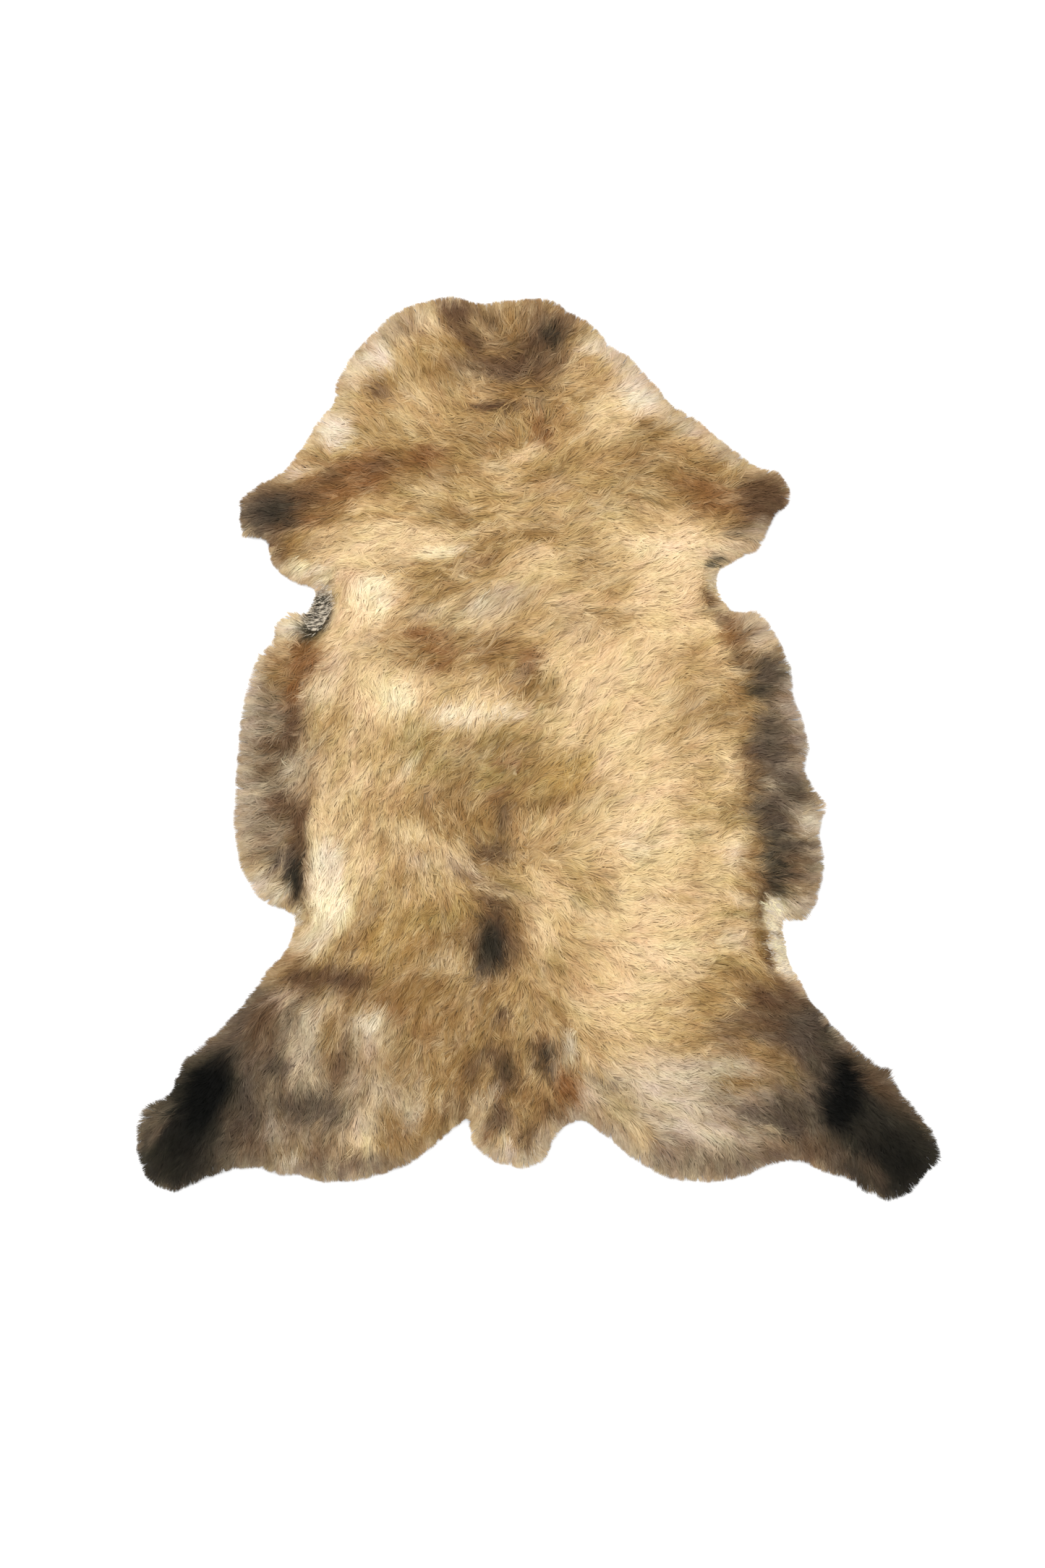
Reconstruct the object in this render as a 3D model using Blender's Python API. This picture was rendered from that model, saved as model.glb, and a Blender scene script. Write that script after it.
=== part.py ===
"""Sheepskin rug: one whole tanned pelt with its wool left on, lying flat with the wool side up.

The leather side is the flat underside at Z = 0, the neck points to +Y and the tail to -Y. The wool
is a lumpy slab on the hide. It sinks along the back and where the two belly flaps begin, and it
thins out to short hair in four places beside the legs. Locks of wool hang over the hide's cut edge
and rest on the floor. Tables and sizes are in millimetres, and the mesh is in metres.
"""

from collections import namedtuple
from math import cos, pi, radians, sin

import bmesh
import bpy
import numpy as np
from mathutils import Vector, noise
from mathutils.geometry import delaunay_2d_cdt

MM = 0.001

# The hide and its wool, which rises in a rounded band from the rim to the crown
HIDE_THICKNESS = 2.0
CROWN_PILE = 28.0
SHORTEST_PILE = 0.8
RIM_BAND = 62.0
RIM_ROUNDNESS = 0.8
RIM_BLEND = 2.0

# Two sizes of lump in the wool, both longer across the back than along it, and lower at the rim
Lump = namedtuple("Lump", "height length width layer")
LUMPS = [
    Lump(8.0, 62.0, 36.0, 3.1),
    Lump(4.0, 31.0, 20.0, 7.7),
]
LUMP_BAND = 20.0
LUMP_AT_RIM = 0.25

# The locks along the cut edge, which lean together in small tufts
LOCK_COUNT = 280
LOCK_SEED = 11
LOCK_ROOT_SHARE = 0.78
ROOT_SPREAD = 0.06
ROOT_SHIFT = 0.07
LOCK_CLEARANCE = 0.78
LOCK_TUFT = (2, 5)
LOCK_LEAN = 0.26
LOCK_STRAY = 0.06
LOCK_STRETCH = 1.14
LOCK_SPREAD = 0.07
TUFT_ROUNDING = 0.07
SHORTEST_LOCK = 3.0
SHORTEST_REACH = 0.5

# Two drawn lengths of a lock: how far along it, how wide and how high it is there, and its lean
Length = namedtuple("Length", "share width height lean")
LOCK_LENGTHS = [
    Length(0.52, 0.84, 0.76, 0.36),
    Length(1.0, 0.42, 0.28, 1.0),
]

# How finely the solid is divided, and how far its inner corners keep from the rim and each other
CURVE_STEPS = 24
EDGE_SMOOTHING = 5
AIM_SMOOTHING = 6
RING_SMOOTHING = 2
GRID_PITCH = 20.5
GRID_MARGIN = 0.4
GRID_GAP = 0.6
PATCH_PITCH = 9.0
PATCH_REACH = 1.5
PATCH_MARGIN = 5.0
PATCH_GAP = 0.62
FAINTEST_BARE = 0.02
UNDERSIDE_PITCH = 95.0
UNDERSIDE_MARGIN = 0.3
Ring = namedtuple("Ring", "depth stride")
SHOULDER_RINGS = [Ring(8.0, 2), Ring(20.0, 3)]
RING_MARGIN = 0.85
RING_GAP = 0.8

# The outline that the wool reaches, clockwise from the left of the neck. pile is the height of the
# wool at the rim, and lock is how far the locks stand out from the hide's cut edge.
Edge = namedtuple("Edge", "x y pile lock")
OUTLINE = [
    # neck
    Edge(-195, 512, 12, 11),
    Edge(-170, 532, 12, 11),
    Edge(-144, 543, 12, 11),
    Edge(-107, 550, 13, 12),
    Edge(-73, 542, 12, 9),
    Edge(18, 545, 12, 10),
    Edge(31, 532, 12, 10),
    Edge(50, 524, 12, 10),
    Edge(89, 489, 12, 11),
    Edge(109, 474, 12, 10),
    Edge(137, 444, 12, 10),
    Edge(155, 423, 12, 10),
    Edge(167, 411, 12, 10),
    # right shoulder and foreleg
    Edge(192, 399, 12, 10),
    Edge(221, 376, 12, 9),
    Edge(242, 359, 12, 9),
    Edge(263, 344, 12, 9),
    Edge(290, 335, 12, 9),
    Edge(306, 306, 12, 9),
    Edge(284, 278, 11, 8),
    Edge(265, 243, 11, 8),
    Edge(246, 234, 9, 6),
    # right armpit
    Edge(220, 214, 2, 1),
    Edge(219, 192, 2, 1),
    Edge(236, 165, 10, 6),
    # right belly flap
    Edge(264, 164, 13, 10),
    Edge(285, 145, 13, 13),
    Edge(304, 110, 14, 15),
    Edge(311, 68, 14, 15),
    Edge(329, 4, 14, 15),
    Edge(324, -28, 13, 13),
    Edge(334, -48, 13, 14),
    Edge(350, -74, 14, 15),
    Edge(343, -98, 14, 14),
    Edge(349, -138, 14, 15),
    Edge(345, -168, 14, 14),
    Edge(337, -193, 13, 13),
    Edge(321, -210, 11, 10),
    Edge(303, -213, 6, 6),
    # right groin and hind leg
    Edge(298, -226, 1, 1),
    Edge(309, -268, 1, 1),
    Edge(329, -304, 6, 3),
    Edge(356, -337, 10, 6),
    Edge(388, -370, 12, 9),
    Edge(409, -387, 12, 9),
    Edge(424, -394, 12, 10),
    Edge(440, -420, 12, 10),
    Edge(467, -452, 12, 11),
    Edge(482, -475, 12, 11),
    Edge(488, -500, 12, 11),
    Edge(472, -522, 12, 11),
    Edge(455, -543, 12, 12),
    Edge(427, -550, 12, 12),
    Edge(400, -541, 13, 12),
    # right haunch
    Edge(378, -528, 13, 12),
    Edge(340, -515, 13, 12),
    Edge(314, -503, 13, 11),
    Edge(278, -511, 13, 11),
    Edge(250, -525, 13, 12),
    Edge(156, -524, 13, 12),
    Edge(114, -500, 13, 11),
    Edge(77, -471, 13, 9),
    Edge(50, -454, 11, 6),
    # tail
    Edge(30, -464, 12, 8),
    Edge(16, -483, 13, 9),
    Edge(7, -502, 13, 11),
    Edge(-15, -514, 14, 12),
    Edge(-38, -508, 13, 12),
    Edge(-58, -503, 13, 11),
    Edge(-80, -478, 13, 9),
    Edge(-86, -452, 11, 5),
    # left haunch
    Edge(-116, -475, 12, 9),
    Edge(-147, -499, 13, 11),
    Edge(-190, -521, 13, 12),
    Edge(-260, -531, 13, 12),
    Edge(-293, -523, 13, 12),
    Edge(-321, -522, 13, 12),
    Edge(-347, -512, 13, 11),
    Edge(-397, -523, 13, 11),
    Edge(-445, -541, 13, 12),
    Edge(-477, -529, 12, 11),
    Edge(-490, -485, 12, 11),
    # left hind leg and groin
    Edge(-478, -440, 12, 10),
    Edge(-452, -423, 12, 9),
    Edge(-434, -389, 12, 9),
    Edge(-390, -346, 12, 9),
    Edge(-317, -259, 10, 7),
    Edge(-303, -236, 5, 4),
    Edge(-298, -216, 2, 2),
    # left belly flap
    Edge(-306, -200, 8, 7),
    Edge(-333, -190, 13, 12),
    Edge(-364, -148, 14, 15),
    Edge(-372, -98, 14, 15),
    Edge(-370, -50, 14, 15),
    Edge(-366, 18, 14, 15),
    Edge(-357, 66, 14, 15),
    Edge(-342, 112, 14, 14),
    Edge(-325, 131, 13, 13),
    Edge(-317, 149, 13, 12),
    Edge(-298, 165, 9, 7),
    Edge(-286, 165, 5, 3),
    # left armpit
    Edge(-277, 174, 2, 1),
    Edge(-274, 193, 2, 1),
    # left foreleg and shoulder
    Edge(-294, 200, 8, 5),
    Edge(-313, 211, 11, 7),
    Edge(-327, 230, 11, 8),
    Edge(-333, 253, 11, 8),
    Edge(-360, 259, 11, 8),
    Edge(-366, 279, 12, 9),
    Edge(-359, 305, 12, 9),
    Edge(-341, 321, 12, 9),
    Edge(-313, 337, 12, 9),
    Edge(-293, 361, 12, 10),
    Edge(-278, 384, 12, 10),
    Edge(-266, 402, 12, 10),
    Edge(-249, 417, 12, 10),
    Edge(-243, 449, 12, 10),
    Edge(-217, 489, 12, 11),
]

# Lines along which the wool parts and lies lower
Fold = namedtuple("Fold", "name depth width route")
FOLDS = [
    Fold("left flap", 8, 15, [(-285, 160), (-316, 117), (-320, 60), (-302, -59), (-298, -190)]),
    Fold("right flap", 8, 15, [(234, 164), (256, 117), (271, 20), (278, -100), (284, -186)]),
    Fold("spine", 4, 20, [(-30, 400), (-47, 290), (-38, 110), (-36, -60), (-50, -240), (-22, -400)]),
    Fold("tail root", 4, 14, [(-88, -452), (-20, -432), (46, -451)]),
    Fold("neck arm", 4, 16, [(-80, 520), (-62, 462), (-10, 455), (50, 505)]),
]

# Places where the wool puffs up, and one row for each nearly bare place beside a leg
Puff = namedtuple("Puff", "x y radius height")
PUFFS = [
    Puff(-200, 465, 38, 3),
    Puff(115, 440, 42, 3),
    Puff(-235, 390, 36, 3),
    Puff(-200, 182, 48, 5),
    Puff(-176, 64, 50, 4),
    Puff(-305, -130, 40, 4),
    Puff(160, 110, 60, 3),
    Puff(190, -160, 70, 3),
    Puff(-345, 40, 34, 4),
    Puff(310, -60, 36, 4),
    Puff(-400, -480, 60, 4),
    Puff(400, -470, 60, 4),
    Puff(-35, -480, 34, 3),
    Puff(110, -440, 60, 3),
]
BARE_FALL = 0.85
BARE_REACH = 2.05
Bare = namedtuple("Bare", "x y half_width half_length lean")
BARE_PLACES = [
    Bare(-267, 170, 16, 31, -20),
    Bare(218, 203, 10, 24, 0),
    Bare(-294, -208, 8, 13, 0),
    Bare(287, -203, 13, 22, 0),
    Bare(293, -246, 14, 32, 16),
    Bare(343, -318, 6, 56, 40),
]

WOOL_COLOUR = (0.56, 0.41, 0.25, 1.0)
WOOL_ROUGHNESS = 0.9
CREASE_ANGLE = 50.0


def closed_curve(rows, steps):
    """Points of a smooth closed curve through the rows, all columns together."""
    rows = np.array(rows, dtype=float)
    count = len(rows)
    curve = []
    for i in range(count):
        before, start, end, after = (rows[(i + k) % count] for k in (-1, 0, 1, 2))
        t0 = 0.0
        t1 = t0 + np.hypot(*(start - before)[:2]) ** 0.5
        t2 = t1 + np.hypot(*(end - start)[:2]) ** 0.5
        t3 = t2 + np.hypot(*(after - end)[:2]) ** 0.5
        for t in np.linspace(t1, t2, steps, endpoint=False):
            a = ((t1 - t) * before + (t - t0) * start) / (t1 - t0)
            b = ((t2 - t) * start + (t - t1) * end) / (t2 - t1)
            c = ((t3 - t) * end + (t - t2) * after) / (t3 - t2)
            d = ((t2 - t) * a + (t - t0) * b) / (t2 - t0)
            e = ((t3 - t) * b + (t - t1) * c) / (t3 - t1)
            curve.append(((t2 - t) * d + (t - t1) * e) / (t2 - t1))
    return np.array(curve)


def smoothed(values, passes):
    """Closed rows averaged with their neighbours."""
    for _ in range(passes):
        values = 0.25 * np.roll(values, 1, axis=0) + 0.5 * values + 0.25 * np.roll(values, -1, axis=0)
    return values


def outward(points):
    """Unit vectors that point away from a closed clockwise line."""
    along = np.roll(points, -1, axis=0) - np.roll(points, 1, axis=0)
    along /= np.linalg.norm(along, axis=1, keepdims=True)
    return np.column_stack([-along[:, 1], along[:, 0]])


def at_stations(rows, shares):
    """Rows of a closed line at the given shares of its length."""
    closed = np.vstack([rows, rows[:1]])
    steps = np.hypot(*np.diff(closed[:, :2], axis=0).T)
    length = np.concatenate([[0.0], np.cumsum(steps)])
    wanted = np.asarray(shares) * length[-1]
    return np.column_stack([np.interp(wanted, length, column) for column in closed.T])


def hide_edge():
    """The hide's cut edge: two rows (x, y, pile, lock) for each lock, its root's two ends."""
    reach = closed_curve(OUTLINE, CURVE_STEPS)
    even = at_stations(reach, np.arange(len(reach)) / len(reach))
    even[:, 2:] = np.maximum(even[:, 2:], SHORTEST_REACH)
    edge = even.copy()
    edge[:, :2] -= outward(smoothed(even[:, :2], AIM_SMOOTHING)) * even[:, 3:4]
    edge = smoothed(edge, EDGE_SMOOTHING)
    random = np.random.default_rng(LOCK_SEED)
    pitch = 1.0 / LOCK_COUNT
    starts = (np.arange(LOCK_COUNT) + random.uniform(-ROOT_SHIFT, ROOT_SHIFT, LOCK_COUNT)) * pitch
    widths = LOCK_ROOT_SHARE * pitch * random.uniform(1.0 - ROOT_SPREAD, 1.0 + ROOT_SPREAD, LOCK_COUNT)
    shares = np.column_stack([starts, starts + widths]).ravel() % 1.0
    return at_stations(edge, shares)


def distance_to_line(points, line, closed):
    """Distance of each point to a line of points."""
    starts = line if closed else line[:-1]
    ends = np.roll(line, -1, axis=0) if closed else line[1:]
    runs = ends - starts
    offsets = points[:, None, :] - starts[None, :, :]
    share = (offsets * runs).sum(axis=2) / (runs ** 2).sum(axis=1)
    nearest = offsets - np.clip(share, 0.0, 1.0)[:, :, None] * runs
    return np.hypot(nearest[:, :, 0], nearest[:, :, 1]).min(axis=1)


def inside(points, line):
    """Whether each point lies inside a closed line."""
    x, y = points[:, 0:1], points[:, 1:2]
    x0, y0 = line[:, 0], line[:, 1]
    x1, y1 = np.roll(x0, -1), np.roll(y0, -1)
    spans = (y0 > y) != (y1 > y)
    rise = np.where(y1 == y0, 1.0, y1 - y0)
    crosses = spans & (x < x0 + (y - y0) / rise * (x1 - x0))
    return crosses.sum(axis=1) % 2 == 1


def bareness(points):
    """How bare the hide is at each point, from 0 in full wool to 1."""
    bare = np.zeros(len(points))
    for place in BARE_PLACES:
        turn = radians(place.lean)
        x = points[:, 0] - place.x
        y = points[:, 1] - place.y
        across = (x * cos(turn) + y * sin(turn)) / place.half_width
        along = (y * cos(turn) - x * sin(turn)) / place.half_length
        bare = np.maximum(bare, np.clip(BARE_FALL * (BARE_REACH - np.hypot(across, along)), 0.0, 1.0))
    return bare * bare * (3.0 - 2.0 * bare)


def wool_lumps(points):
    """How far the lumps raise or lower the wool at each point."""
    rises = np.zeros(len(points))
    for lump in LUMPS:
        rises += [lump.height * noise.noise(Vector((x / lump.length, y / lump.width, lump.layer)))
                  for x, y in points]
    return rises


def top_height(points, edge):
    """Height of the slab's top over each point."""
    depth = distance_to_line(points, edge[:, :2], closed=True)
    gaps = np.hypot(points[:, None, 0] - edge[None, :, 0], points[:, None, 1] - edge[None, :, 1])
    weight = 1.0 / (gaps + RIM_BLEND) ** 3
    rim = (weight * edge[:, 2]).sum(axis=1) / weight.sum(axis=1)
    rise = np.sin(np.clip(depth / RIM_BAND, 0.0, 1.0) * pi / 2.0) ** RIM_ROUNDNESS
    pile = rim + (CROWN_PILE - rim) * rise
    pile += wool_lumps(points) * np.clip(depth / LUMP_BAND, LUMP_AT_RIM, 1.0)
    for fold in FOLDS:
        away = distance_to_line(points, np.array(fold.route, dtype=float), closed=False)
        pile -= fold.depth * rise * np.exp(-(away / fold.width) ** 2)
    for puff in PUFFS:
        away = np.hypot(points[:, 0] - puff.x, points[:, 1] - puff.y)
        pile += puff.height * rise * np.exp(-(away / puff.radius) ** 2)
    pile *= 1.0 - bareness(points)
    return HIDE_THICKNESS + np.maximum(pile, SHORTEST_PILE)


def grid_points(low, high, pitch):
    """Points of a grid of even triangles over a box."""
    rows = np.arange(low[1], high[1], pitch * sin(pi / 3.0))
    columns = np.arange(low[0], high[0], pitch)
    return np.array([(x + pitch / 2.0 * (j % 2), y) for j, y in enumerate(rows) for x in columns])


def spread(points, taken, gap):
    """The points that keep a gap to the taken ones and to each other, in order."""
    kept = [tuple(p) for p in taken]
    added = []
    for point in points:
        away = np.hypot(*(np.array(kept) - point).T)
        if away.min() >= gap:
            kept.append(tuple(point))
            added.append(tuple(point))
    return added


def slab_points(edge):
    """Inner points of the top: two rings along the rim, close ones where it is bare, and a grid."""
    line = edge[:, :2]
    found = []
    for ring in SHOULDER_RINGS:
        spots = (line - outward(smoothed(line, RING_SMOOTHING)) * ring.depth)[::ring.stride]
        depth = distance_to_line(spots, line, closed=True)
        clear = inside(spots, line) & (depth > RING_MARGIN * ring.depth)
        found += spread(spots[clear], list(line) + found, RING_GAP * ring.depth)
    for place in BARE_PLACES:
        size = PATCH_REACH * place.half_length
        box = np.array([place.x, place.y])
        close = grid_points(box - size, box + size, PATCH_PITCH)
        bare = bareness(close)
        clear = inside(close, line) & (distance_to_line(close, line, closed=True) > PATCH_MARGIN)
        found += spread(close[clear & (bare > FAINTEST_BARE)], found, PATCH_GAP * PATCH_PITCH)
    grid = grid_points(line.min(axis=0), line.max(axis=0), GRID_PITCH)
    innermost = SHOULDER_RINGS[-1].depth + GRID_MARGIN * GRID_PITCH
    clear = inside(grid, line) & (distance_to_line(grid, line, closed=True) > innermost)
    return found + spread(grid[clear], found, GRID_GAP * GRID_PITCH)


def triangles(line, inner):
    """Triangles that fill a closed line with the inner points as corners."""
    points = [Vector(p) for p in line] + [Vector(p) for p in inner]
    sides = [(i, (i + 1) % len(line)) for i in range(len(line))]
    result = delaunay_2d_cdt(points, sides, [], 1, 1e-5)
    faces, sources = result[2], result[3]
    return [tuple(sources[i][0] for i in face) for face in faces]


def tuft_places(random):
    """For each lock, how many locks it stands from the middle of its tuft."""
    places = []
    while len(places) < LOCK_COUNT:
        size = random.integers(*LOCK_TUFT)
        places += [k - (size - 1) / 2.0 for k in range(size)]
    return np.array(places[:LOCK_COUNT])


def lock_widths(root, room):
    """A lock's widths at its drawn lengths, kept clear of its neighbours' tips."""
    pitch = root / LOCK_ROOT_SHARE
    free = [LOCK_CLEARANCE * ((1.0 - part.share) * pitch + part.share * room) for part in LOCK_LENGTHS]
    return [min(root * part.width, limit) for part, limit in zip(LOCK_LENGTHS, free)]


def add_locks(mesh, walls, edge):
    """Draw a lock out of every second wall panel, lying down to a thin tip."""
    random = np.random.default_rng(LOCK_SEED + 1)
    places = tuft_places(random)
    runs = (edge[1::2] - edge[0::2])[:, :2]
    middles = 0.5 * (edge[1::2] + edge[0::2])
    roots = np.hypot(*runs.T)
    alongs = runs / roots[:, None]
    outs = np.column_stack([-alongs[:, 1], alongs[:, 0]])
    lengths = middles[:, 3] * (LOCK_STRETCH - TUFT_ROUNDING * places ** 2)
    lengths *= random.uniform(1.0 - LOCK_SPREAD, 1.0 + LOCK_SPREAD, LOCK_COUNT)
    shifts = random.uniform(-LOCK_STRAY, LOCK_STRAY, LOCK_COUNT) * lengths
    shifts -= places * LOCK_LEAN * roots / LOCK_ROOT_SHARE
    tips = middles[:, :2] + outs * lengths[:, None] + alongs * shifts[:, None]
    rooms = np.hypot(*(np.roll(tips, -1, axis=0) - tips).T)
    rooms = np.minimum(rooms, np.roll(rooms, 1))
    for i in np.nonzero(lengths >= SHORTEST_LOCK)[0]:
        top = HIDE_THICKNESS + middles[i, 2]
        face = walls[2 * i]
        for part, width in zip(LOCK_LENGTHS, lock_widths(roots[i], rooms[i])):
            face = bmesh.ops.extrude_discrete_faces(mesh, faces=[face])["faces"][0]
            spot = middles[i, :2] + outs[i] * lengths[i] * part.share + alongs[i] * shifts[i] * part.lean
            for corner in face.verts:
                side = np.sign(np.dot(np.array(corner.co[:2]) / MM - middles[i, :2], alongs[i]))
                height = top * part.height if corner.co.z > MM else 0.0
                corner.co = Vector((*(spot + 0.5 * side * width * alongs[i]), height)) * MM


def build_pelt():
    """The whole pelt as one closed mesh."""
    edge = hide_edge()
    line = edge[:, :2]
    count = len(line)
    inner = slab_points(edge)
    grid = grid_points(line.min(axis=0), line.max(axis=0), UNDERSIDE_PITCH)
    depth = distance_to_line(grid, line, closed=True)
    under = grid[inside(grid, line) & (depth > UNDERSIDE_MARGIN * UNDERSIDE_PITCH)]

    mesh = bmesh.new()
    plan = np.vstack([line, np.array(inner)])
    heights = top_height(plan, edge)
    top = [mesh.verts.new(Vector((x, y, z)) * MM) for (x, y), z in zip(plan, heights)]
    base = [mesh.verts.new(Vector((x, y, 0.0)) * MM) for x, y in np.vstack([line, under])]
    for corners in triangles(line, inner):
        mesh.faces.new([top[i] for i in corners])
    for corners in triangles(line, under):
        mesh.faces.new([base[i] for i in reversed(corners)])
    walls = []
    for i in range(count):
        j = (i + 1) % count
        walls.append(mesh.faces.new([top[i], top[j], base[j], base[i]]))
    add_locks(mesh, walls, edge)
    return mesh


def centre_on_floor(mesh):
    """Move the mesh so that its box stands on Z = 0 and is centred on the Z axis."""
    spots = np.array([vertex.co for vertex in mesh.verts])
    low, high = spots.min(axis=0), spots.max(axis=0)
    shift = Vector((-(low[0] + high[0]) / 2.0, -(low[1] + high[1]) / 2.0, -low[2]))
    bmesh.ops.translate(mesh, verts=mesh.verts, vec=shift)


def wool_material():
    """The wool's mean colour, matt."""
    material = bpy.data.materials.new("wool")
    material.use_nodes = True
    shader = material.node_tree.nodes["Principled BSDF"]
    shader.inputs["Base Color"].default_value = WOOL_COLOUR
    shader.inputs["Roughness"].default_value = WOOL_ROUGHNESS
    shader.inputs["Metallic"].default_value = 0.0
    return material


def main():
    for thing in list(bpy.data.objects):
        bpy.data.objects.remove(thing, do_unlink=True)
    mesh = build_pelt()
    centre_on_floor(mesh)
    bmesh.ops.recalc_face_normals(mesh, faces=mesh.faces)
    data = bpy.data.meshes.new("pelt")
    mesh.to_mesh(data)
    mesh.free()
    data.shade_smooth()
    data.set_sharp_from_angle(angle=radians(CREASE_ANGLE))
    pelt = bpy.data.objects.new("pelt", data)
    pelt.data.materials.append(wool_material())
    bpy.context.scene.collection.objects.link(pelt)


main()
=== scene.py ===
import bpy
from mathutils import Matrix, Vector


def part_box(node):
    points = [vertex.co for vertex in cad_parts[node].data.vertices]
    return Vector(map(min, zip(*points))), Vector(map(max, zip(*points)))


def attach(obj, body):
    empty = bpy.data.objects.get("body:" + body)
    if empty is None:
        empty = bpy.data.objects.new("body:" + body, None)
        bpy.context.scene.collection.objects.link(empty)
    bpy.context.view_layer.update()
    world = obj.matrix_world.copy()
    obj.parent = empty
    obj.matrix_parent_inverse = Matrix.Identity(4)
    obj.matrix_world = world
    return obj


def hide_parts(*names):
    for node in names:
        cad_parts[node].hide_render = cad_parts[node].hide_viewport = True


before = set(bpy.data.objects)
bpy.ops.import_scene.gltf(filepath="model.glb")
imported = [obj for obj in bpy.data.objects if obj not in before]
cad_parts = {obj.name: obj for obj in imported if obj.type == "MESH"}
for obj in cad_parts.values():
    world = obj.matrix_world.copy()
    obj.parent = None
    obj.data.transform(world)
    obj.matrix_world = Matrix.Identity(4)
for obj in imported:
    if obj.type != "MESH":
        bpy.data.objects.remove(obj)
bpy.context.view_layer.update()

# Sheepskin rug: the dressed model. The hide is a thin sheet on the floor. A low body of matted wool
# lies on it, and the wool itself is 182,000 fine locks in five meshes, combed along a given flow
# and coloured by a given table of tones. Places in the tables named px and py are in the
# photograph's pixels, and all other sizes are in metres where nothing else is said.

from collections import namedtuple
from math import cos, pi, radians, sin

import bpy
import numpy as np
from mathutils import Vector, kdtree
from mathutils.bvhtree import BVHTree
from mathutils.geometry import delaunay_2d_cdt

MM = 0.001

# The photograph: its frame, its scale on the rug, and the middle of the rug in it
PHOTO_WIDTH = 1445
PHOTO_HEIGHT = 2168
PIXEL = 0.8793 * MM
RUG_PX = 744
RUG_PY = 1033

# The camera's lens and sensor in millimetres, the height over the floor at which the photograph's
# scale holds, and the studio's soft light and floor
LENS = 50.0
SENSOR = 36.0
WOOL_LEVEL = 0.02
WORLD_STRENGTH = 0.62
FLOOR_HALF = 6

# The rim: points from one row of the outline to the next, even rows round it, and passes of smoothing
CURVE_STEPS = 16
RIM_ROWS = 2000
RIM_SMOOTHING = 12

# The hide and the body of matted wool on it, and the grid in which the solid's heights are read
HIDE_THICKNESS = 0.002
MAT_SINK = 0.0030
MAT_FLOOR = 0.001
EDGE_POINTS = 900
SHEET_PITCH = 0.012
SHEET_GAP = 0.6
SHEET_SEED = 5
HEIGHT_PITCH = 0.0025
HEIGHT_MARGIN = 12
HEIGHT_BLUR = 3
RAY_START = 1.0

# Noise: its lattice, where it starts, and how a streak is drawn out of it
LATTICE = 256
LATTICE_START = 100.0
STREAK_SAMPLES = 9
STREAK_LEVEL = 4.0

# The locks: how many, and how much closer they grow near the hide's edge
LOCK_COUNT = 182000
LOCK_SEED = 7
LOCK_TRIES = 3.6
OPEN_CHANCE = 0.46
EDGE_CHANCE = 0.54
EDGE_BAND = 0.026

# The clumps that locks gather in and the tufts that clumps gather in
CLUMP_PITCH = 0.0062
CLUMP_SEED = 8
CLUMP_JITTER = 0.42
CLUMP_PULL = 0.18
LOOSE_SPREAD = (0.55, 1.1)
TUFT_PITCH = 0.026
TUFT_SEED = 9
TUFT_JITTER = 0.45

# How far tufts, clumps and locks differ in turn, height, tone, length and bend
TUFT_TURN, CLUMP_TURN, LOCK_TURN, CURL_TURN = radians(11), radians(13), radians(7), radians(50)
TUFT_LIFT, CLUMP_LIFT, LOCK_LIFT, STREAK_LIFT = (-0.0006, 0.0009), (-0.0003, 0.0004), 0.0003, 0.0006
TUFT_SHADE, CLUMP_SHADE, LOCK_SHADE, STREAK_SHADE = 0.02, 0.034, 0.026, 0.10
CLUMP_LENGTH, LOCK_SPREAD = (0.82, 1.2), (0.85, 1.12)
CLUMP_BEND, LOCK_BEND = 0.24, 0.07
SIDE_SHARE = 1.6

# One lock: its length, how much of it lies along the hide, its width, its shape from root to tip, and its
# colour darkened towards the root by painted shade
LOCK_LENGTH = 0.023
LOCK_REACH = 0.86
LOCK_WIDTH = 0.00095
LOCK_ROLL = radians(8)
WIDTH_SPREAD = (0.7, 1.3)
STEPS = np.array([0.0, 0.36, 0.70, 1.0])
LIFTS = np.array([-0.0024, 0.0, 0.0014, 0.0016])
WIDTHS = np.array([0.85, 1.0, 0.72])
PAINTED_ROOT_SHADE = np.array([0.93, 0.98, 1.0, 1.02])
LOW_ROOT, LOW_RISE, LOWEST = 0.0004, 0.0005, 0.0003
TINY = 1e-12

# Its ribbon: points, the corners of its three faces, and its place in a cell of the unwrapped map
RIBBON_POINTS = 7
RIBBON_CORNERS = np.array([0, 1, 3, 2, 2, 3, 5, 4, 4, 5, 6])
RIBBON_FACES = [4, 4, 3]
RIBBON_U = np.array([0.15, 0.85, 0.15, 0.85, 0.2, 0.8, 0.5])
RIBBON_V = np.array([0.12, 0.12, 0.4, 0.4, 0.68, 0.68, 0.9])
BANDS = ["wool_neck", "wool_shoulders", "wool_back", "wool_loin", "wool_rump"]
BAND_SEED = 60

# Locks at the rim: where they turn outwards, how much they grow, and how far they pass it
RIM_START = 0.006
RIM_BAND = 0.036
RIM_PULL = 1.4
RIM_GROWTH = 0.3
RIM_LOOSE = 0.9
RIM_OVER = 0.0017
NECK_OVER, NECK_Y, NECK_FADE = 0.0018, 0.36, 0.06
TIP_SPREAD = (-0.0007, 0.0009)
LEAST_FACING = 0.25
LEAST_REACH = 0.001
RIM_SCALLOPS = [(0.0022, 0.022, 51)]
TIP_SCALLOPS = [(0.0012, 0.007, 52)]

# Locks at the bare places: short, thin, flat and flecked with white
SHORT_LOCK = 0.006
BARE_END, BARE_FADE = 1.5, 0.5
BARE_HOLD = 0.8
BARE_FLAT = 0.75
BARE_LIFT = 0.0006
BARE_THIN = 0.45
FLECK_CHANCE, FLECK_SHARE = 0.14, 0.85

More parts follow.
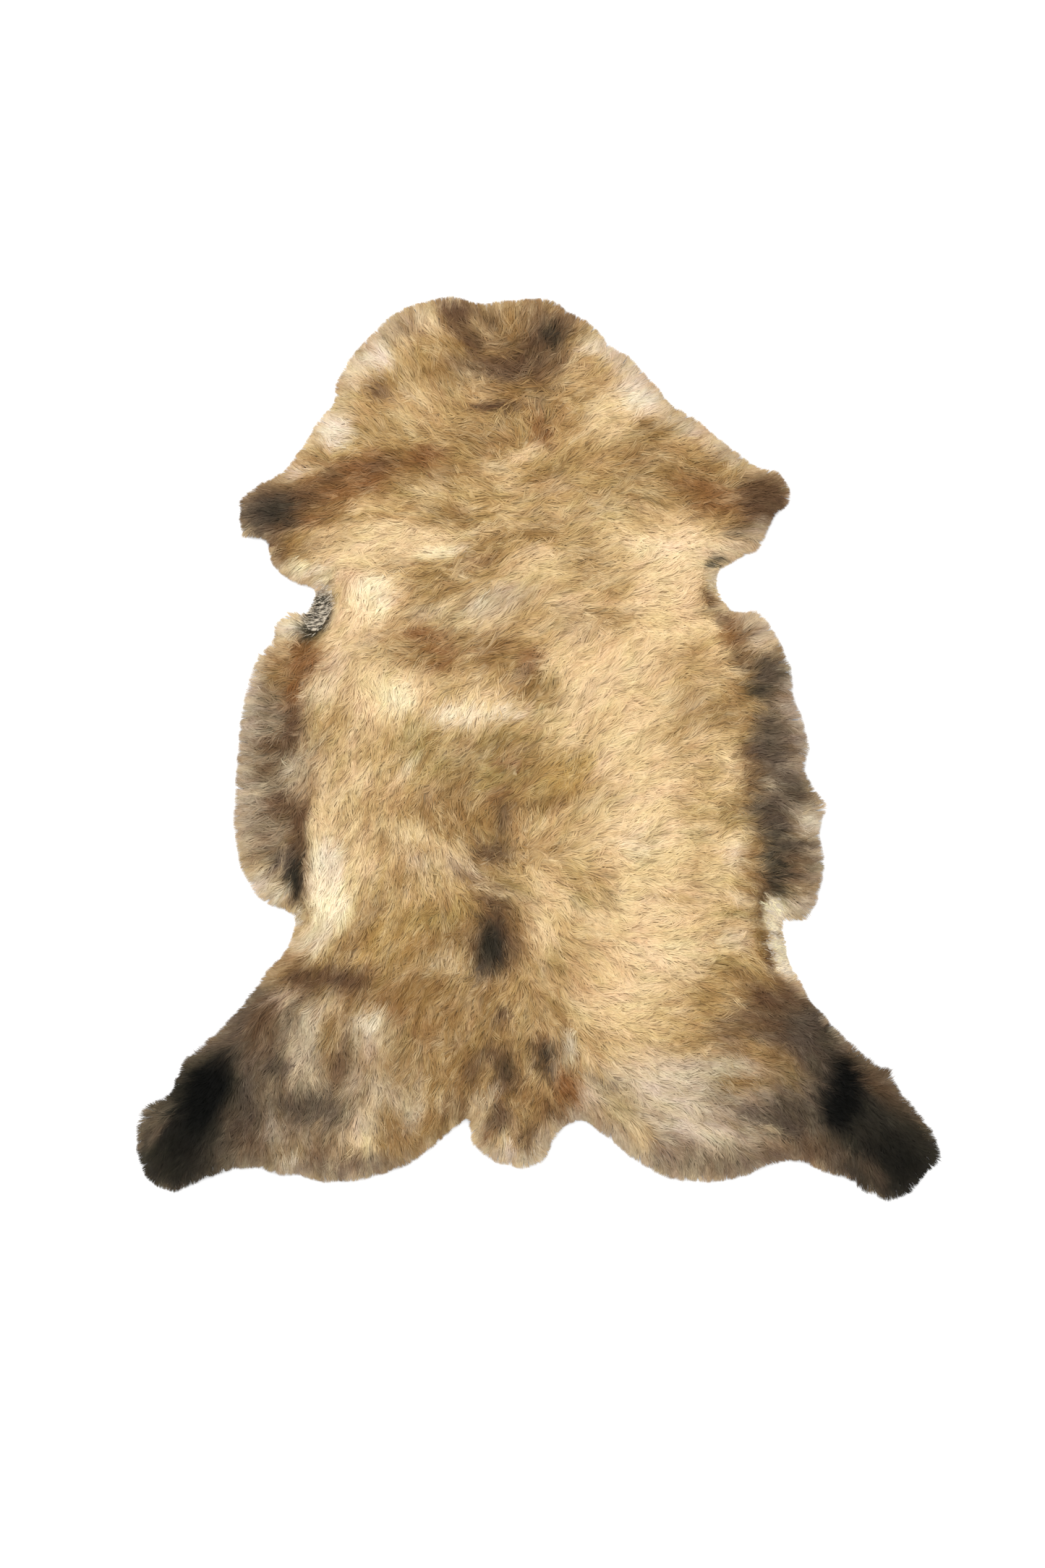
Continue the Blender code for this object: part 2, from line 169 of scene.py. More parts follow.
# The combing: how near a row of its table counts and how fast it falls off, and waves in it, as
# share, size and seed
FLOW_REACH = 0.022
FLOW_FALL = 1.6
FLOW_WAVES = [(radians(16), 0.045, 21), (radians(10), 0.018, 22)]

# The tones. Noises are rows of share, size and seed, and streaks of share, size, length and seed.
TONGUES = [(0.009, 0.006, 0.040, 35)]
WARP_ACROSS = [(0.003, 0.040, 31), (0.003, 0.013, 32)]
WARP_ALONG = [(0.003, 0.040, 33), (0.003, 0.010, 34)]
MOTTLE = [(0.5, 0.055, 41), (0.5, 0.022, 42), (0.4, 0.012, 48)]
MOTTLE_STREAKS = [(1.0, 0.008, 0.030, 43)]
MOTTLE_TONES = {"cream": 0.34, "brown": -0.24}
HUE = [(0.5, 0.030, 44), (0.7, 0.013, 49)]
HUE_STREAKS = [(0.9, 0.005, 0.026, 45)]
HUE_TONES = {"silver": 0.22, "rust": -0.15}
TINT = [(0.7, 0.016, 46)]
TINT_STREAKS = [(0.6, 0.006, 0.022, 47)]
GREENER = np.array([-0.010, 0.013, -0.022])
LOCK_STREAKS = [(0.7, 0.0045, 0.036, 53), (0.7, 0.0028, 0.022, 54)]
BLOTCH_END, BLOTCH_FADE = 1.55, 1.15
ASH_SHARE, ASH_BAND = 0.38, 0.020
TONE_STEPS = (0.2, 1.0)
TONE_SLIDE = 0.12
LIGHTER, DARKER, DULLER = 1.6, 1.8, 0.4
WOOL_SHADE, WOOL_GRAIN = 0.976, 260.0
# The matted wool's tone is darker than the locks': painted shade deep in the wool
MAT_PAINTED_SHADE, MAT_GRAIN = 0.92, 350.0
PAINT = "wool_colour"

# The outline that the wool reaches, clockwise from the left of the neck, in millimetres from the
# rug's middle. lock is how far the wool stands out from the hide's cut edge.
Edge = namedtuple("Edge", "x y lock")
OUTLINE = [Edge(*row) for row in [
    (-195, 512, 11), (-170, 532, 11), (-144, 543, 11), (-107, 550, 12), (-73, 542, 9), (18, 545, 10),
    (31, 532, 10), (50, 524, 10), (89, 489, 11), (109, 474, 10), (137, 444, 10), (155, 423, 10),
    (167, 411, 10), (192, 399, 10), (221, 376, 9), (242, 359, 9), (263, 344, 9), (290, 335, 9),
    (306, 306, 9), (284, 278, 8), (265, 243, 8), (246, 234, 6), (220, 214, 1), (219, 192, 1), (236, 165, 6),
    (264, 164, 10), (285, 145, 13), (304, 110, 15), (311, 68, 15), (329, 4, 15), (324, -28, 13),
    (334, -48, 14), (350, -74, 15), (343, -98, 14), (349, -138, 15), (345, -168, 14), (337, -193, 13),
    (321, -210, 10), (303, -213, 6), (298, -226, 1), (309, -268, 1), (329, -304, 3), (356, -337, 6),
    (388, -370, 9), (409, -387, 9), (424, -394, 10), (440, -420, 10), (467, -452, 11), (482, -475, 11),
    (488, -500, 11), (472, -522, 11), (455, -543, 12), (427, -550, 12), (400, -541, 12), (378, -528, 12),
    (340, -515, 12), (314, -503, 11), (278, -511, 11), (250, -525, 12), (156, -524, 12), (114, -500, 11),
    (77, -471, 9), (50, -454, 6), (30, -464, 8), (16, -483, 9), (7, -502, 11), (-15, -514, 12),
    (-38, -508, 12), (-58, -503, 11), (-80, -478, 9), (-86, -452, 5), (-116, -475, 9), (-147, -499, 11),
    (-190, -521, 12), (-260, -531, 12), (-293, -523, 12), (-321, -522, 12), (-347, -512, 11),
    (-397, -523, 11), (-445, -541, 12), (-477, -529, 11), (-490, -485, 11), (-478, -440, 10),
    (-452, -423, 9), (-434, -389, 9), (-390, -346, 9), (-317, -259, 7), (-303, -236, 4), (-298, -216, 2),
    (-306, -200, 7), (-333, -190, 12), (-364, -148, 15), (-372, -98, 15), (-370, -50, 15), (-366, 18, 15),
    (-357, 66, 15), (-342, 112, 14), (-325, 131, 13), (-317, 149, 12), (-298, 165, 7), (-286, 165, 3),
    (-277, 174, 1), (-274, 193, 1), (-294, 200, 5), (-313, 211, 7), (-327, 230, 8), (-333, 253, 8),
    (-360, 259, 8), (-366, 279, 9), (-359, 305, 9), (-341, 321, 9), (-313, 337, 9), (-293, 361, 10),
    (-278, 384, 10), (-266, 402, 10), (-249, 417, 10), (-243, 449, 10), (-217, 489, 11),
]]

# Places beside the legs where the wool is short, as half sizes in millimetres
Bare = namedtuple("Bare", "x y half_width half_length lean")
BARE_PLACES = [Bare(*row) for row in [
    (-267, 170, 16, 31, -20), (218, 203, 10, 24, 0), (-294, -208, 8, 13, 0), (287, -203, 13, 22, 0),
    (293, -246, 14, 32, 16), (343, -318, 6, 56, 40),
]]

# Which way the wool is combed, in degrees from the rug's right towards its neck
Flow = namedtuple("Flow", "px py degrees")
FLOWS = [Flow(*row) for row in [
    # neck
    (560, 440, 105), (630, 430, 95), (700, 430, 88), (770, 440, 70), (830, 480, 48), (500, 510, 130),
    (570, 510, 115), (620, 540, 130), (650, 485, 140), (705, 512, 178), (760, 510, 38), (690, 568, 178),
    (840, 550, 35), (910, 570, 28), (460, 590, 160), (540, 580, 145), (720, 595, 100),
    # shoulders and forelegs
    (420, 650, 188), (500, 640, 182), (580, 620, 170), (650, 625, 158), (700, 645, 10), (770, 630, 35),
    (850, 610, 20), (940, 610, 8), (1000, 645, -5), (1060, 680, -5), (360, 700, 190), (440, 695, 192),
    (520, 700, 180), (600, 705, 165), (660, 690, 170), (710, 715, 18), (780, 700, 12), (850, 690, 8),
    (950, 690, 0),
    # upper back
    (420, 765, 205), (500, 760, 192), (580, 755, 200), (690, 770, 30), (760, 770, 18), (840, 765, 6),
    (940, 750, 4), (450, 850, 240), (510, 820, 262), (570, 840, 228), (640, 850, 210), (710, 850, 27),
    (780, 850, 14), (860, 850, 8), (960, 820, 5), (470, 900, 215), (560, 895, 190), (640, 905, 185),
    (710, 905, 10), (780, 900, 38), (860, 910, 28), (950, 900, 8),
    # middle of the back
    (450, 970, 250), (530, 965, 262), (600, 975, 245), (660, 985, 232), (720, 985, 218), (785, 965, 48),
    (850, 985, 42), (920, 970, 20), (1000, 960, 5), (450, 1060, 260), (520, 1050, 255), (570, 1050, 262),
    (620, 1060, 240), (690, 1060, 218), (750, 1060, 48), (820, 1050, 38), (900, 1060, 22), (980, 1080, 8),
    # loin and rump
    (450, 1150, 265), (520, 1140, 262), (580, 1150, 295), (640, 1155, 305), (700, 1140, 270),
    (755, 1150, 62), (815, 1150, 25), (900, 1150, 5), (980, 1150, 0), (450, 1220, 266), (530, 1210, 262),
    (600, 1205, 298), (660, 1215, 325), (720, 1225, 322), (790, 1210, 345), (880, 1210, 0), (980, 1210, -2),
    (460, 1290, 255), (540, 1270, 245), (600, 1280, 238), (680, 1300, 268), (745, 1290, 305),
    (810, 1290, 335), (900, 1290, -8), (990, 1290, -8), (430, 1350, 235), (500, 1360, 238),
    (580, 1360, 230), (650, 1370, 228), (700, 1380, 252), (765, 1360, 308), (830, 1380, 340),
    (920, 1390, -10), (1020, 1380, -15),
    # hind legs and tail
    (350, 1440, 250), (430, 1430, 266), (500, 1430, 262), (580, 1440, 242), (650, 1440, 230),
    (720, 1450, 265), (790, 1450, 290), (860, 1450, -15), (960, 1450, -15), (1060, 1450, -25),
    (1130, 1440, -45), (250, 1520, 245), (220, 1590, 250), (300, 1500, 245), (330, 1570, 255),
    (400, 1540, 262), (480, 1540, 268), (550, 1530, 280), (620, 1510, 252), (700, 1520, 270),
    (720, 1580, 270), (790, 1510, 300), (850, 1550, -40), (930, 1540, -30), (1010, 1530, -25),
    (980, 1600, -70), (1080, 1550, -35), (1150, 1500, -45), (1220, 1560, -45), (1250, 1620, -50),
    (1150, 1600, -60),
    # belly flaps
    (370, 900, 165), (355, 960, 180), (350, 1060, 182), (355, 1140, 190), (380, 1210, 215), (1070, 900, 15),
    (1085, 990, 0), (1090, 1080, -3), (1105, 1160, -10), (1105, 1230, -25), (1040, 1040, 5),
    (1045, 1180, -8),
]]

# The wool's tones, as red, green and blue from 0 to 255
TONES = {
    "white": (252, 238, 202), "milk": (238, 224, 200), "cream": (243, 216, 169), "gold": (226, 193, 140),
    "sand": (204, 180, 141), "rose": (220, 198, 174), "ash": (186, 170, 150), "tan": (187, 152, 97),
    "amber": (175, 138, 76), "brown": (145, 110, 63), "rust": (130, 86, 48), "umber": (92, 67, 46),
    "olive": (152, 128, 74), "taupe": (124, 106, 86), "silver": (198, 182, 156), "slate": (78, 66, 54),
    "soot": (44, 40, 32), "black": (8, 8, 6),
}
BASE_TONE = "gold"

# Blotches in the order they are laid: half sizes in pixels, how strongly the tone is laid, which
# counts up to 1, and lean in degrees from the rug's right towards its neck where there is one
Blotch = namedtuple("Blotch", "tone px py wide high strength lean", defaults=[0])
BLOTCHES = [Blotch(*row) for row in [
    # broad grounds
    ("tan", 640, 560, 280, 190, 0.7), ("brown", 700, 500, 150, 110, 0.5), ("tan", 700, 690, 380, 100, 0.6),
    ("tan", 640, 830, 170, 110, 0.5), ("sand", 460, 1000, 70, 200, 0.4), ("tan", 660, 1080, 200, 130, 0.75),
    ("tan", 620, 1290, 200, 130, 0.8), ("cream", 900, 1110, 90, 300, 0.45),
    ("tan", 1010, 1380, 80, 80, 0.7), ("taupe", 400, 1500, 170, 150, 0.8, 20),
    ("brown", 600, 1480, 110, 110, 0.6), ("brown", 710, 1460, 100, 130, 0.65),
    ("ash", 950, 1560, 190, 90, 0.8), ("taupe", 1080, 1520, 110, 110, 0.55),
    # neck
    ("ash", 530, 450, 70, 40, 0.35, 30), ("milk", 582, 444, 20, 18, 0.4, 10),
    ("taupe", 546, 458, 30, 14, 0.7, 30), ("brown", 704, 462, 84, 60, 0.95),
    ("brown", 700, 412, 110, 16, 0.85), ("umber", 708, 498, 64, 34, 0.75),
    ("brown", 640, 505, 34, 34, 0.75), ("brown", 772, 514, 36, 34, 0.8), ("brown", 706, 544, 60, 22, 0.75),
    ("umber", 636, 424, 26, 18, 1.0), ("umber", 634, 450, 16, 16, 0.8),
    ("umber", 650, 474, 13, 18, 0.9, 20), ("umber", 690, 516, 44, 16, 1.0, -10),
    ("umber", 736, 492, 26, 24, 0.95, 40), ("umber", 756, 460, 28, 24, 1.0),
    ("soot", 764, 462, 18, 17, 0.85, 20), ("umber", 742, 430, 24, 16, 0.6),
    ("umber", 784, 440, 24, 15, 0.85, -30), ("umber", 676, 444, 20, 17, 0.6),
    ("tan", 690, 486, 22, 5, 0.5, 10), ("brown", 590, 514, 17, 12, 0.8), ("umber", 690, 566, 36, 6, 1.0),
    ("umber", 764, 544, 26, 6, 0.8, 32), ("milk", 520, 495, 28, 20, 1.0, 10),
    ("milk", 484, 522, 18, 30, 0.6, -15), ("brown", 532, 538, 28, 18, 0.7),
    ("umber", 524, 542, 13, 12, 0.9, 20), ("gold", 600, 556, 44, 20, 0.5),
    ("brown", 516, 590, 34, 14, 0.6, 20), ("milk", 460, 600, 26, 28, 1.1, -10),
    ("brown", 430, 634, 16, 18, 0.8, 20), ("rose", 408, 654, 18, 13, 1.0, 40),
    ("milk", 830, 480, 30, 18, 1.0, -35), ("rose", 872, 510, 38, 14, 0.85, -38),
    ("milk", 884, 548, 36, 24, 1.0, -20), ("cream", 850, 588, 34, 36, 0.85),
    ("gold", 806, 520, 40, 20, 0.6, 30), ("cream", 790, 488, 24, 12, 0.5, 20),
    ("rose", 958, 586, 46, 12, 0.85, -32), ("taupe", 944, 596, 12, 9, 0.5),
    ("brown", 1002, 638, 26, 20, 0.9, -30), ("rose", 1004, 628, 30, 11, 0.8, -35),
    ("umber", 758, 504, 36, 24, 0.75, 30), ("umber", 632, 420, 24, 18, 0.7),
    ("umber", 640, 506, 24, 16, 0.5), ("brown", 808, 452, 24, 16, 0.6, -30),
    # shoulders and forelegs
    ("brown", 520, 660, 100, 32, 0.85, 16), ("rust", 488, 664, 70, 28, 1.0, 18),
    ("umber", 452, 668, 24, 17, 0.7, 15), ("umber", 524, 646, 24, 12, 0.6, 25),
    ("rust", 584, 632, 26, 12, 0.95, 20), ("brown", 580, 672, 70, 14, 0.5, 10),
    ("rust", 430, 700, 50, 30, 1.1, 8), ("umber", 420, 694, 26, 18, 0.8, 10),
    ("brown", 456, 712, 30, 18, 0.7), ("umber", 366, 704, 46, 44, 1.0), ("slate", 364, 712, 42, 34, 0.85),
    ("soot", 382, 714, 24, 24, 0.7), ("umber", 386, 752, 18, 28, 1.3), ("brown", 410, 754, 26, 20, 0.8),
    ("cream", 424, 794, 40, 11, 1.1, -12), ("gold", 510, 700, 40, 10, 0.5),
    ("brown", 904, 596, 26, 20, 0.95), ("olive", 880, 622, 34, 20, 0.5),
    ("brown", 960, 660, 76, 30, 0.85, -26), ("brown", 896, 644, 46, 24, 0.8, -10),
    ("brown", 880, 690, 90, 18, 0.6, -4), ("rust", 988, 694, 50, 22, 0.9, -22),
    ("brown", 1000, 718, 24, 13, 0.6), ("umber", 1062, 692, 38, 40, 1.2, -30),
    ("taupe", 1020, 736, 20, 10, 0.8, 20), ("milk", 1006, 760, 26, 9, 0.7, 14),
    ("cream", 935, 756, 66, 26, 1.1, -4), ("white", 920, 764, 46, 14, 0.5),
    ("brown", 752, 724, 22, 16, 0.8, 20), ("brown", 866, 660, 40, 16, 0.5, -20),
    ("white", 430, 790, 30, 10, 0.9, -12), ("cream", 545, 742, 60, 16, 0.6, 3),
    ("silver", 1052, 736, 22, 15, 0.6, 40),
    # upper back
    ("brown", 664, 606, 40, 14, 0.6, -15), ("rust", 750, 600, 13, 24, 1.2, 14),
    ("cream", 728, 628, 30, 12, 0.85, 10), ("brown", 672, 638, 26, 12, 0.7),
    ("brown", 748, 656, 18, 10, 0.9, 10), ("tan", 820, 650, 60, 30, 0.5, 10),
    ("cream", 700, 672, 30, 13, 0.5, 5), ("cream", 590, 682, 30, 8, 0.4),
    ("brown", 616, 708, 40, 12, 0.85, -14), ("brown", 655, 722, 30, 10, 0.7, -10),
    ("brown", 752, 728, 34, 14, 0.8, 5), ("brown", 690, 746, 30, 10, 0.8, 15),
    ("brown", 840, 705, 60, 12, 0.5, 5), ("cream", 572, 750, 84, 17, 0.95, 4),
    ("white", 612, 764, 40, 9, 0.8, 4), ("cream", 530, 734, 40, 12, 0.9), ("rust", 530, 780, 50, 4, 0.6, 3),
    ("brown", 640, 788, 60, 17, 0.9, 16), ("rust", 660, 782, 32, 9, 0.8, 15),
    ("cream", 760, 778, 54, 18, 0.6, 10), ("brown", 578, 812, 22, 12, 0.5),
    ("olive", 572, 846, 26, 14, 0.6, 20), ("cream", 490, 800, 62, 50, 0.7),
    ("cream", 830, 712, 80, 26, 0.35), ("cream", 800, 896, 22, 20, 0.5),
    ("white", 512, 832, 26, 34, 1.1, 12), ("cream", 496, 854, 26, 24, 0.8),
    ("cream", 470, 874, 20, 36, 0.5), ("silver", 682, 838, 60, 24, 0.75, 24),
    ("milk", 650, 848, 26, 9, 0.5, 24), ("brown", 600, 864, 40, 10, 0.5, 10),
    ("brown", 630, 816, 44, 9, 0.6, 25), ("brown", 812, 778, 26, 22, 0.5, -30),
    ("sand", 790, 850, 26, 44, 0.5, 30), ("brown", 850, 856, 15, 14, 0.85),
    ("brown", 826, 846, 26, 6, 0.5, 10), ("tan", 860, 826, 28, 34, 0.7), ("cream", 930, 806, 50, 44, 0.9),
    ("tan", 976, 836, 17, 26, 0.7), ("cream", 930, 880, 60, 18, 0.6, 20), ("silver", 590, 850, 30, 12, 0.5),
    ("cream", 858, 940, 30, 24, 0.6), ("brown", 570, 926, 26, 12, 0.5), ("cream", 642, 868, 50, 11, 0.5),
    ("white", 424, 792, 34, 11, 0.9, -12), ("brown", 634, 790, 22, 10, 0.6, 10),
    ("tan", 536, 790, 24, 9, 0.5, 5),
    # middle of the back
    # The brown and rust bands from 520 to 700 px across and 870 to 925 down: the wool's own brown and
    # painted shade between the rolls of wool there
    ("brown", 606, 888, 90, 16, 0.6, -3), ("brown", 680, 902, 44, 26, 0.85), ("rust", 604, 918, 26, 9, 0.9),
    ("brown", 570, 905, 50, 18, 0.6), ("rust", 588, 880, 34, 9, 0.9, -6),
    ("rust", 612, 900, 50, 6, 0.9, -3), ("brown", 726, 916, 34, 22, 0.6), ("umber", 730, 926, 13, 10, 0.7),
    ("brown", 752, 942, 26, 26, 0.45), ("cream", 770, 920, 20, 26, 0.6, 30),
    ("brown", 738, 950, 34, 16, 1.0, 10), ("olive", 748, 982, 20, 13, 0.5), ("rose", 450, 924, 24, 26, 0.6),
    ("milk", 448, 960, 20, 17, 0.5), ("brown", 440, 884, 13, 24, 0.7, 10),
    ("cream", 535, 960, 44, 34, 0.95), ("white", 550, 966, 24, 20, 0.85), ("cream", 670, 976, 60, 16, 0.8),
    ("milk", 652, 992, 66, 12, 0.9, 2), ("white", 640, 991, 44, 8, 1.0, 2),
    ("olive", 700, 1022, 56, 6, 0.8, 4), ("tan", 450, 998, 34, 18, 0.9), ("cream", 500, 984, 24, 16, 0.7),
    ("brown", 446, 1034, 14, 14, 0.5), ("cream", 492, 1026, 24, 13, 0.6, -20),
    ("tan", 520, 1036, 24, 14, 0.6), ("olive", 572, 1032, 22, 30, 0.85, -10),
    ("cream", 496, 1070, 22, 17, 0.8), ("white", 566, 1064, 9, 18, 0.9, -36),
    ("cream", 548, 1080, 18, 14, 0.6), ("olive", 668, 1056, 90, 40, 0.75),
    ("brown", 700, 1036, 26, 10, 0.9), ("rust", 708, 1054, 26, 8, 1.0), ("gold", 630, 1030, 20, 12, 0.4),
    ("brown", 626, 1114, 28, 38, 0.6), ("brown", 720, 1108, 50, 16, 0.5), ("rust", 690, 1098, 20, 13, 0.6),
    ("amber", 784, 1070, 34, 26, 1.1), ("cream", 836, 1060, 30, 24, 0.5, 25),
    ("amber", 800, 1048, 26, 18, 0.5), ("tan", 826, 1096, 34, 18, 0.5, 10),
    ("cream", 808, 965, 60, 28, 0.85, 50), ("cream", 862, 1026, 60, 22, 0.75, 25),
    ("cream", 930, 1080, 60, 26, 0.5, 10), ("tan", 926, 1014, 46, 17, 0.6, -15),
    ("cream", 890, 1000, 30, 16, 0.6, 20), ("tan", 958, 916, 34, 30, 0.85),
    ("brown", 966, 980, 40, 28, 0.8, -10), ("brown", 1012, 980, 14, 26, 0.8),
    ("brown", 1014, 926, 18, 34, 0.9), ("tan", 975, 1100, 30, 60, 0.6), ("cream", 1012, 1060, 13, 44, 0.6),
    ("rust", 736, 908, 18, 12, 0.8), ("brown", 730, 962, 26, 12, 0.6), ("sand", 640, 1050, 26, 22, 0.5),
    ("tan", 446, 926, 15, 28, 0.5), ("cream", 798, 960, 20, 40, 0.45), ("amber", 812, 1056, 20, 17, 0.7),
    ("sand", 604, 1100, 24, 16, 0.5),
    # left flap
    ("taupe", 366, 1040, 58, 160, 0.95), ("ash", 338, 1000, 20, 120, 0.7, 3),
    ("silver", 334, 1110, 16, 60, 0.7), ("rust", 420, 910, 18, 32, 1.4, 8),
    ("milk", 348, 936, 9, 36, 0.5, -10), ("brown", 380, 926, 20, 46, 0.8),
    ("taupe", 370, 976, 24, 30, 0.85), ("rust", 405, 956, 13, 30, 1.0), ("umber", 404, 1000, 14, 30, 0.95),
    ("umber", 380, 1028, 22, 12, 0.85), ("umber", 402, 1034, 10, 10, 0.9),
    ("umber", 370, 1066, 22, 13, 0.7), ("silver", 400, 1062, 17, 13, 0.9),
    ("silver", 356, 1094, 22, 13, 0.6), ("umber", 390, 1120, 30, 20, 0.9, -10),
    # The umber at 415 px across, 1094 to 1258 down, with the slate and soot at 404 to 409 across: the
    # flap's own darker wool and painted shade in the crease where it parts from the back
    ("taupe", 344, 1112, 12, 60, 0.5), ("taupe", 376, 1160, 26, 34, 0.8), ("umber", 415, 1176, 17, 82, 1.1),
    ("slate", 388, 1196, 20, 14, 0.9, 10), ("slate", 404, 1206, 12, 26, 0.8),
    ("soot", 409, 1222, 12, 30, 1.0), ("milk", 354, 1224, 20, 17, 0.9, -40),
    ("taupe", 380, 1222, 13, 13, 0.7), ("milk", 382, 1246, 17, 12, 0.9, 20),
    # left column
    ("cream", 452, 1140, 24, 40, 0.8), ("milk", 454, 1204, 24, 44, 0.95), ("cream", 496, 1160, 16, 26, 0.7),
    ("white", 456, 1252, 30, 40, 1.2, -3), ("milk", 436, 1300, 26, 18, 0.8, 25),
    ("cream", 500, 1204, 22, 20, 0.7), ("brown", 524, 1166, 20, 7, 0.6, -10),
    ("milk", 402, 868, 20, 16, 1.0, 30), ("sand", 414, 1094, 12, 17, 0.6),
    # loin
    ("brown", 630, 1140, 84, 36, 0.8), ("umber", 697, 1132, 13, 36, 0.8), ("brown", 590, 1218, 36, 20, 0.6),
    ("cream", 580, 1156, 60, 9, 0.8, -24), ("milk", 582, 1192, 22, 11, 0.6),
    ("brown", 690, 1178, 40, 24, 0.8), ("umber", 684, 1180, 26, 14, 1.0), ("brown", 777, 1172, 11, 9, 0.8),
    ("brown", 752, 1110, 24, 13, 0.8), ("cream", 742, 1136, 22, 7, 0.5, 30),
    ("silver", 672, 1216, 60, 17, 0.7, -25), ("taupe", 632, 1205, 9, 5, 0.9),
    ("taupe", 650, 1212, 16, 4, 0.7, -40), ("olive", 706, 1222, 36, 6, 0.8, -25),
    ("cream", 754, 1220, 30, 15, 0.4, -20), ("cream", 748, 1286, 22, 44, 0.7, 15),
    ("olive", 800, 1238, 10, 30, 0.7), ("tan", 822, 1216, 26, 26, 0.7),
    ("cream", 790, 1262, 22, 12, 0.6, -20), ("olive", 770, 1330, 12, 22, 0.5, 20),
    ("cream", 880, 1110, 50, 14, 0.5, 10), ("cream", 896, 1150, 46, 24, 1.1, 5),
    ("cream", 926, 1318, 60, 24, 0.85), ("cream", 890, 1262, 60, 24, 0.6),
    ("cream", 900, 1220, 66, 7, 0.6, 8), ("olive", 968, 1160, 20, 11, 0.5),
    ("tan", 970, 1200, 17, 18, 0.6, -10), ("tan", 936, 1240, 66, 5, 0.5, -6),
    ("rust", 880, 1186, 30, 3, 0.5, -10), ("brown", 844, 1244, 13, 18, 0.5),
    # The brown at 1032 and 1048 px across here, and at 1034 across four rows down: the right flap's own
    # darker wool and painted shade in the crease where it parts from the back
    ("brown", 1032, 1222, 13, 40, 0.8, 6), ("brown", 1048, 1206, 12, 60, 0.8),
    ("olive", 1018, 1264, 24, 7, 0.8), ("olive", 1014, 1126, 16, 20, 0.8),
    ("milk", 1022, 1182, 18, 24, 0.6, 10), ("milk", 1026, 1244, 17, 10, 0.6),
    # The umber at 1056 px across, 1250 down, and the brown at 1052, 1296: a painted shadow along the wool's
    # edge beside the right bare strip
    ("milk", 1016, 1296, 22, 16, 0.5), ("umber", 1056, 1250, 7, 30, 0.95),
    ("brown", 1052, 1296, 12, 44, 1.0, 14), ("brown", 1034, 1090, 14, 60, 0.85, 4),
    ("white", 890, 1172, 24, 24, 0.6), ("cream", 900, 1150, 20, 16, 0.6), ("cream", 986, 1212, 20, 24, 0.6),
    ("cream", 516, 1150, 40, 14, 0.35),
    # rump
    ("amber", 560, 1290, 84, 44, 0.9, 15), ("brown", 580, 1336, 60, 26, 0.5),
    ("brown", 546, 1232, 24, 13, 0.85, 45), ("brown", 510, 1270, 44, 13, 1.1, 50),
    ("brown", 480, 1308, 24, 10, 0.9, 50), ("cream", 556, 1240, 22, 10, 0.6, -20),
    ("cream", 600, 1226, 40, 10, 0.4, -14), ("olive", 604, 1270, 36, 20, 0.7),
    ("brown", 618, 1300, 40, 20, 1.0, 10), ("brown", 688, 1290, 42, 66, 0.9),
    ("umber", 686, 1300, 30, 52, 0.95), ("umber", 690, 1254, 20, 16, 0.7),
    ("umber", 656, 1312, 14, 24, 0.7), ("soot", 680, 1310, 20, 32, 0.95),
    ("slate", 668, 1342, 14, 15, 0.85), ("rust", 536, 1386, 44, 17, 0.8, -14),
    ("brown", 570, 1370, 70, 26, 0.8), ("brown", 600, 1412, 50, 22, 0.7),
    ("silver", 606, 1336, 16, 12, 0.5, -30), ("umber", 632, 1310, 22, 20, 0.5),
    ("cream", 664, 1372, 30, 5, 0.5, 24), ("brown", 650, 1388, 50, 12, 0.5, 20),
    ("tan", 712, 1372, 24, 18, 0.6), ("umber", 692, 1410, 11, 9, 1.0, 40),
    ("brown", 760, 1386, 24, 13, 0.6, -20), ("brown", 452, 1362, 84, 34, 0.95, -8),
    ("umber", 466, 1356, 44, 17, 1.0, -10), ("umber", 414, 1360, 26, 18, 0.8),
    ("umber", 500, 1346, 17, 10, 0.6), ("umber", 424, 1390, 26, 17, 0.9),
    ("slate", 352, 1388, 34, 24, 0.8, 45), ("olive", 1000, 1342, 26, 20, 0.75, 20),
    ("brown", 1050, 1370, 50, 20, 0.9, -25), ("cream", 900, 1376, 60, 22, 0.6, -10),
    # right flap; its narrow brown and umber lines near 1040 px across are its own darker wool and painted
    # shade in the crease where it parts from the back
    ("umber", 1008, 862, 9, 17, 1.0, 30), ("rust", 1018, 884, 12, 22, 1.1, 30),
    ("taupe", 1090, 1060, 50, 200, 0.95, 4), ("brown", 1038, 980, 14, 80, 0.8),
    ("rose", 1054, 874, 34, 20, 1.0, -30), ("brown", 1080, 896, 26, 13, 0.6, -30),
    ("slate", 1064, 926, 26, 22, 0.9), ("soot", 1060, 954, 18, 14, 0.8),
    ("silver", 1086, 984, 16, 13, 0.85), ("slate", 1068, 1030, 26, 50, 0.85),
    ("ash", 1104, 960, 12, 50, 0.85, 10), ("ash", 1114, 1036, 9, 44, 0.85, 4),
    ("silver", 1068, 1078, 7, 13, 0.6), ("umber", 1046, 1066, 13, 40, 0.7),
    ("slate", 1102, 1092, 30, 20, 0.9, -30), ("slate", 1068, 1134, 28, 36, 0.95),
    ("milk", 1126, 1138, 15, 24, 1.0), ("silver", 1112, 1122, 15, 17, 0.6),
    ("brown", 1052, 1210, 13, 50, 0.6), ("soot", 1078, 1196, 13, 44, 1.0),
    ("soot", 1074, 1232, 13, 13, 0.8), ("slate", 1106, 1172, 36, 12, 0.95),
    ("umber", 1110, 1202, 24, 26, 0.6), ("taupe", 1130, 1204, 15, 36, 0.9),
    ("silver", 1116, 1250, 30, 18, 1.0), ("silver", 1134, 1190, 9, 40, 0.5),
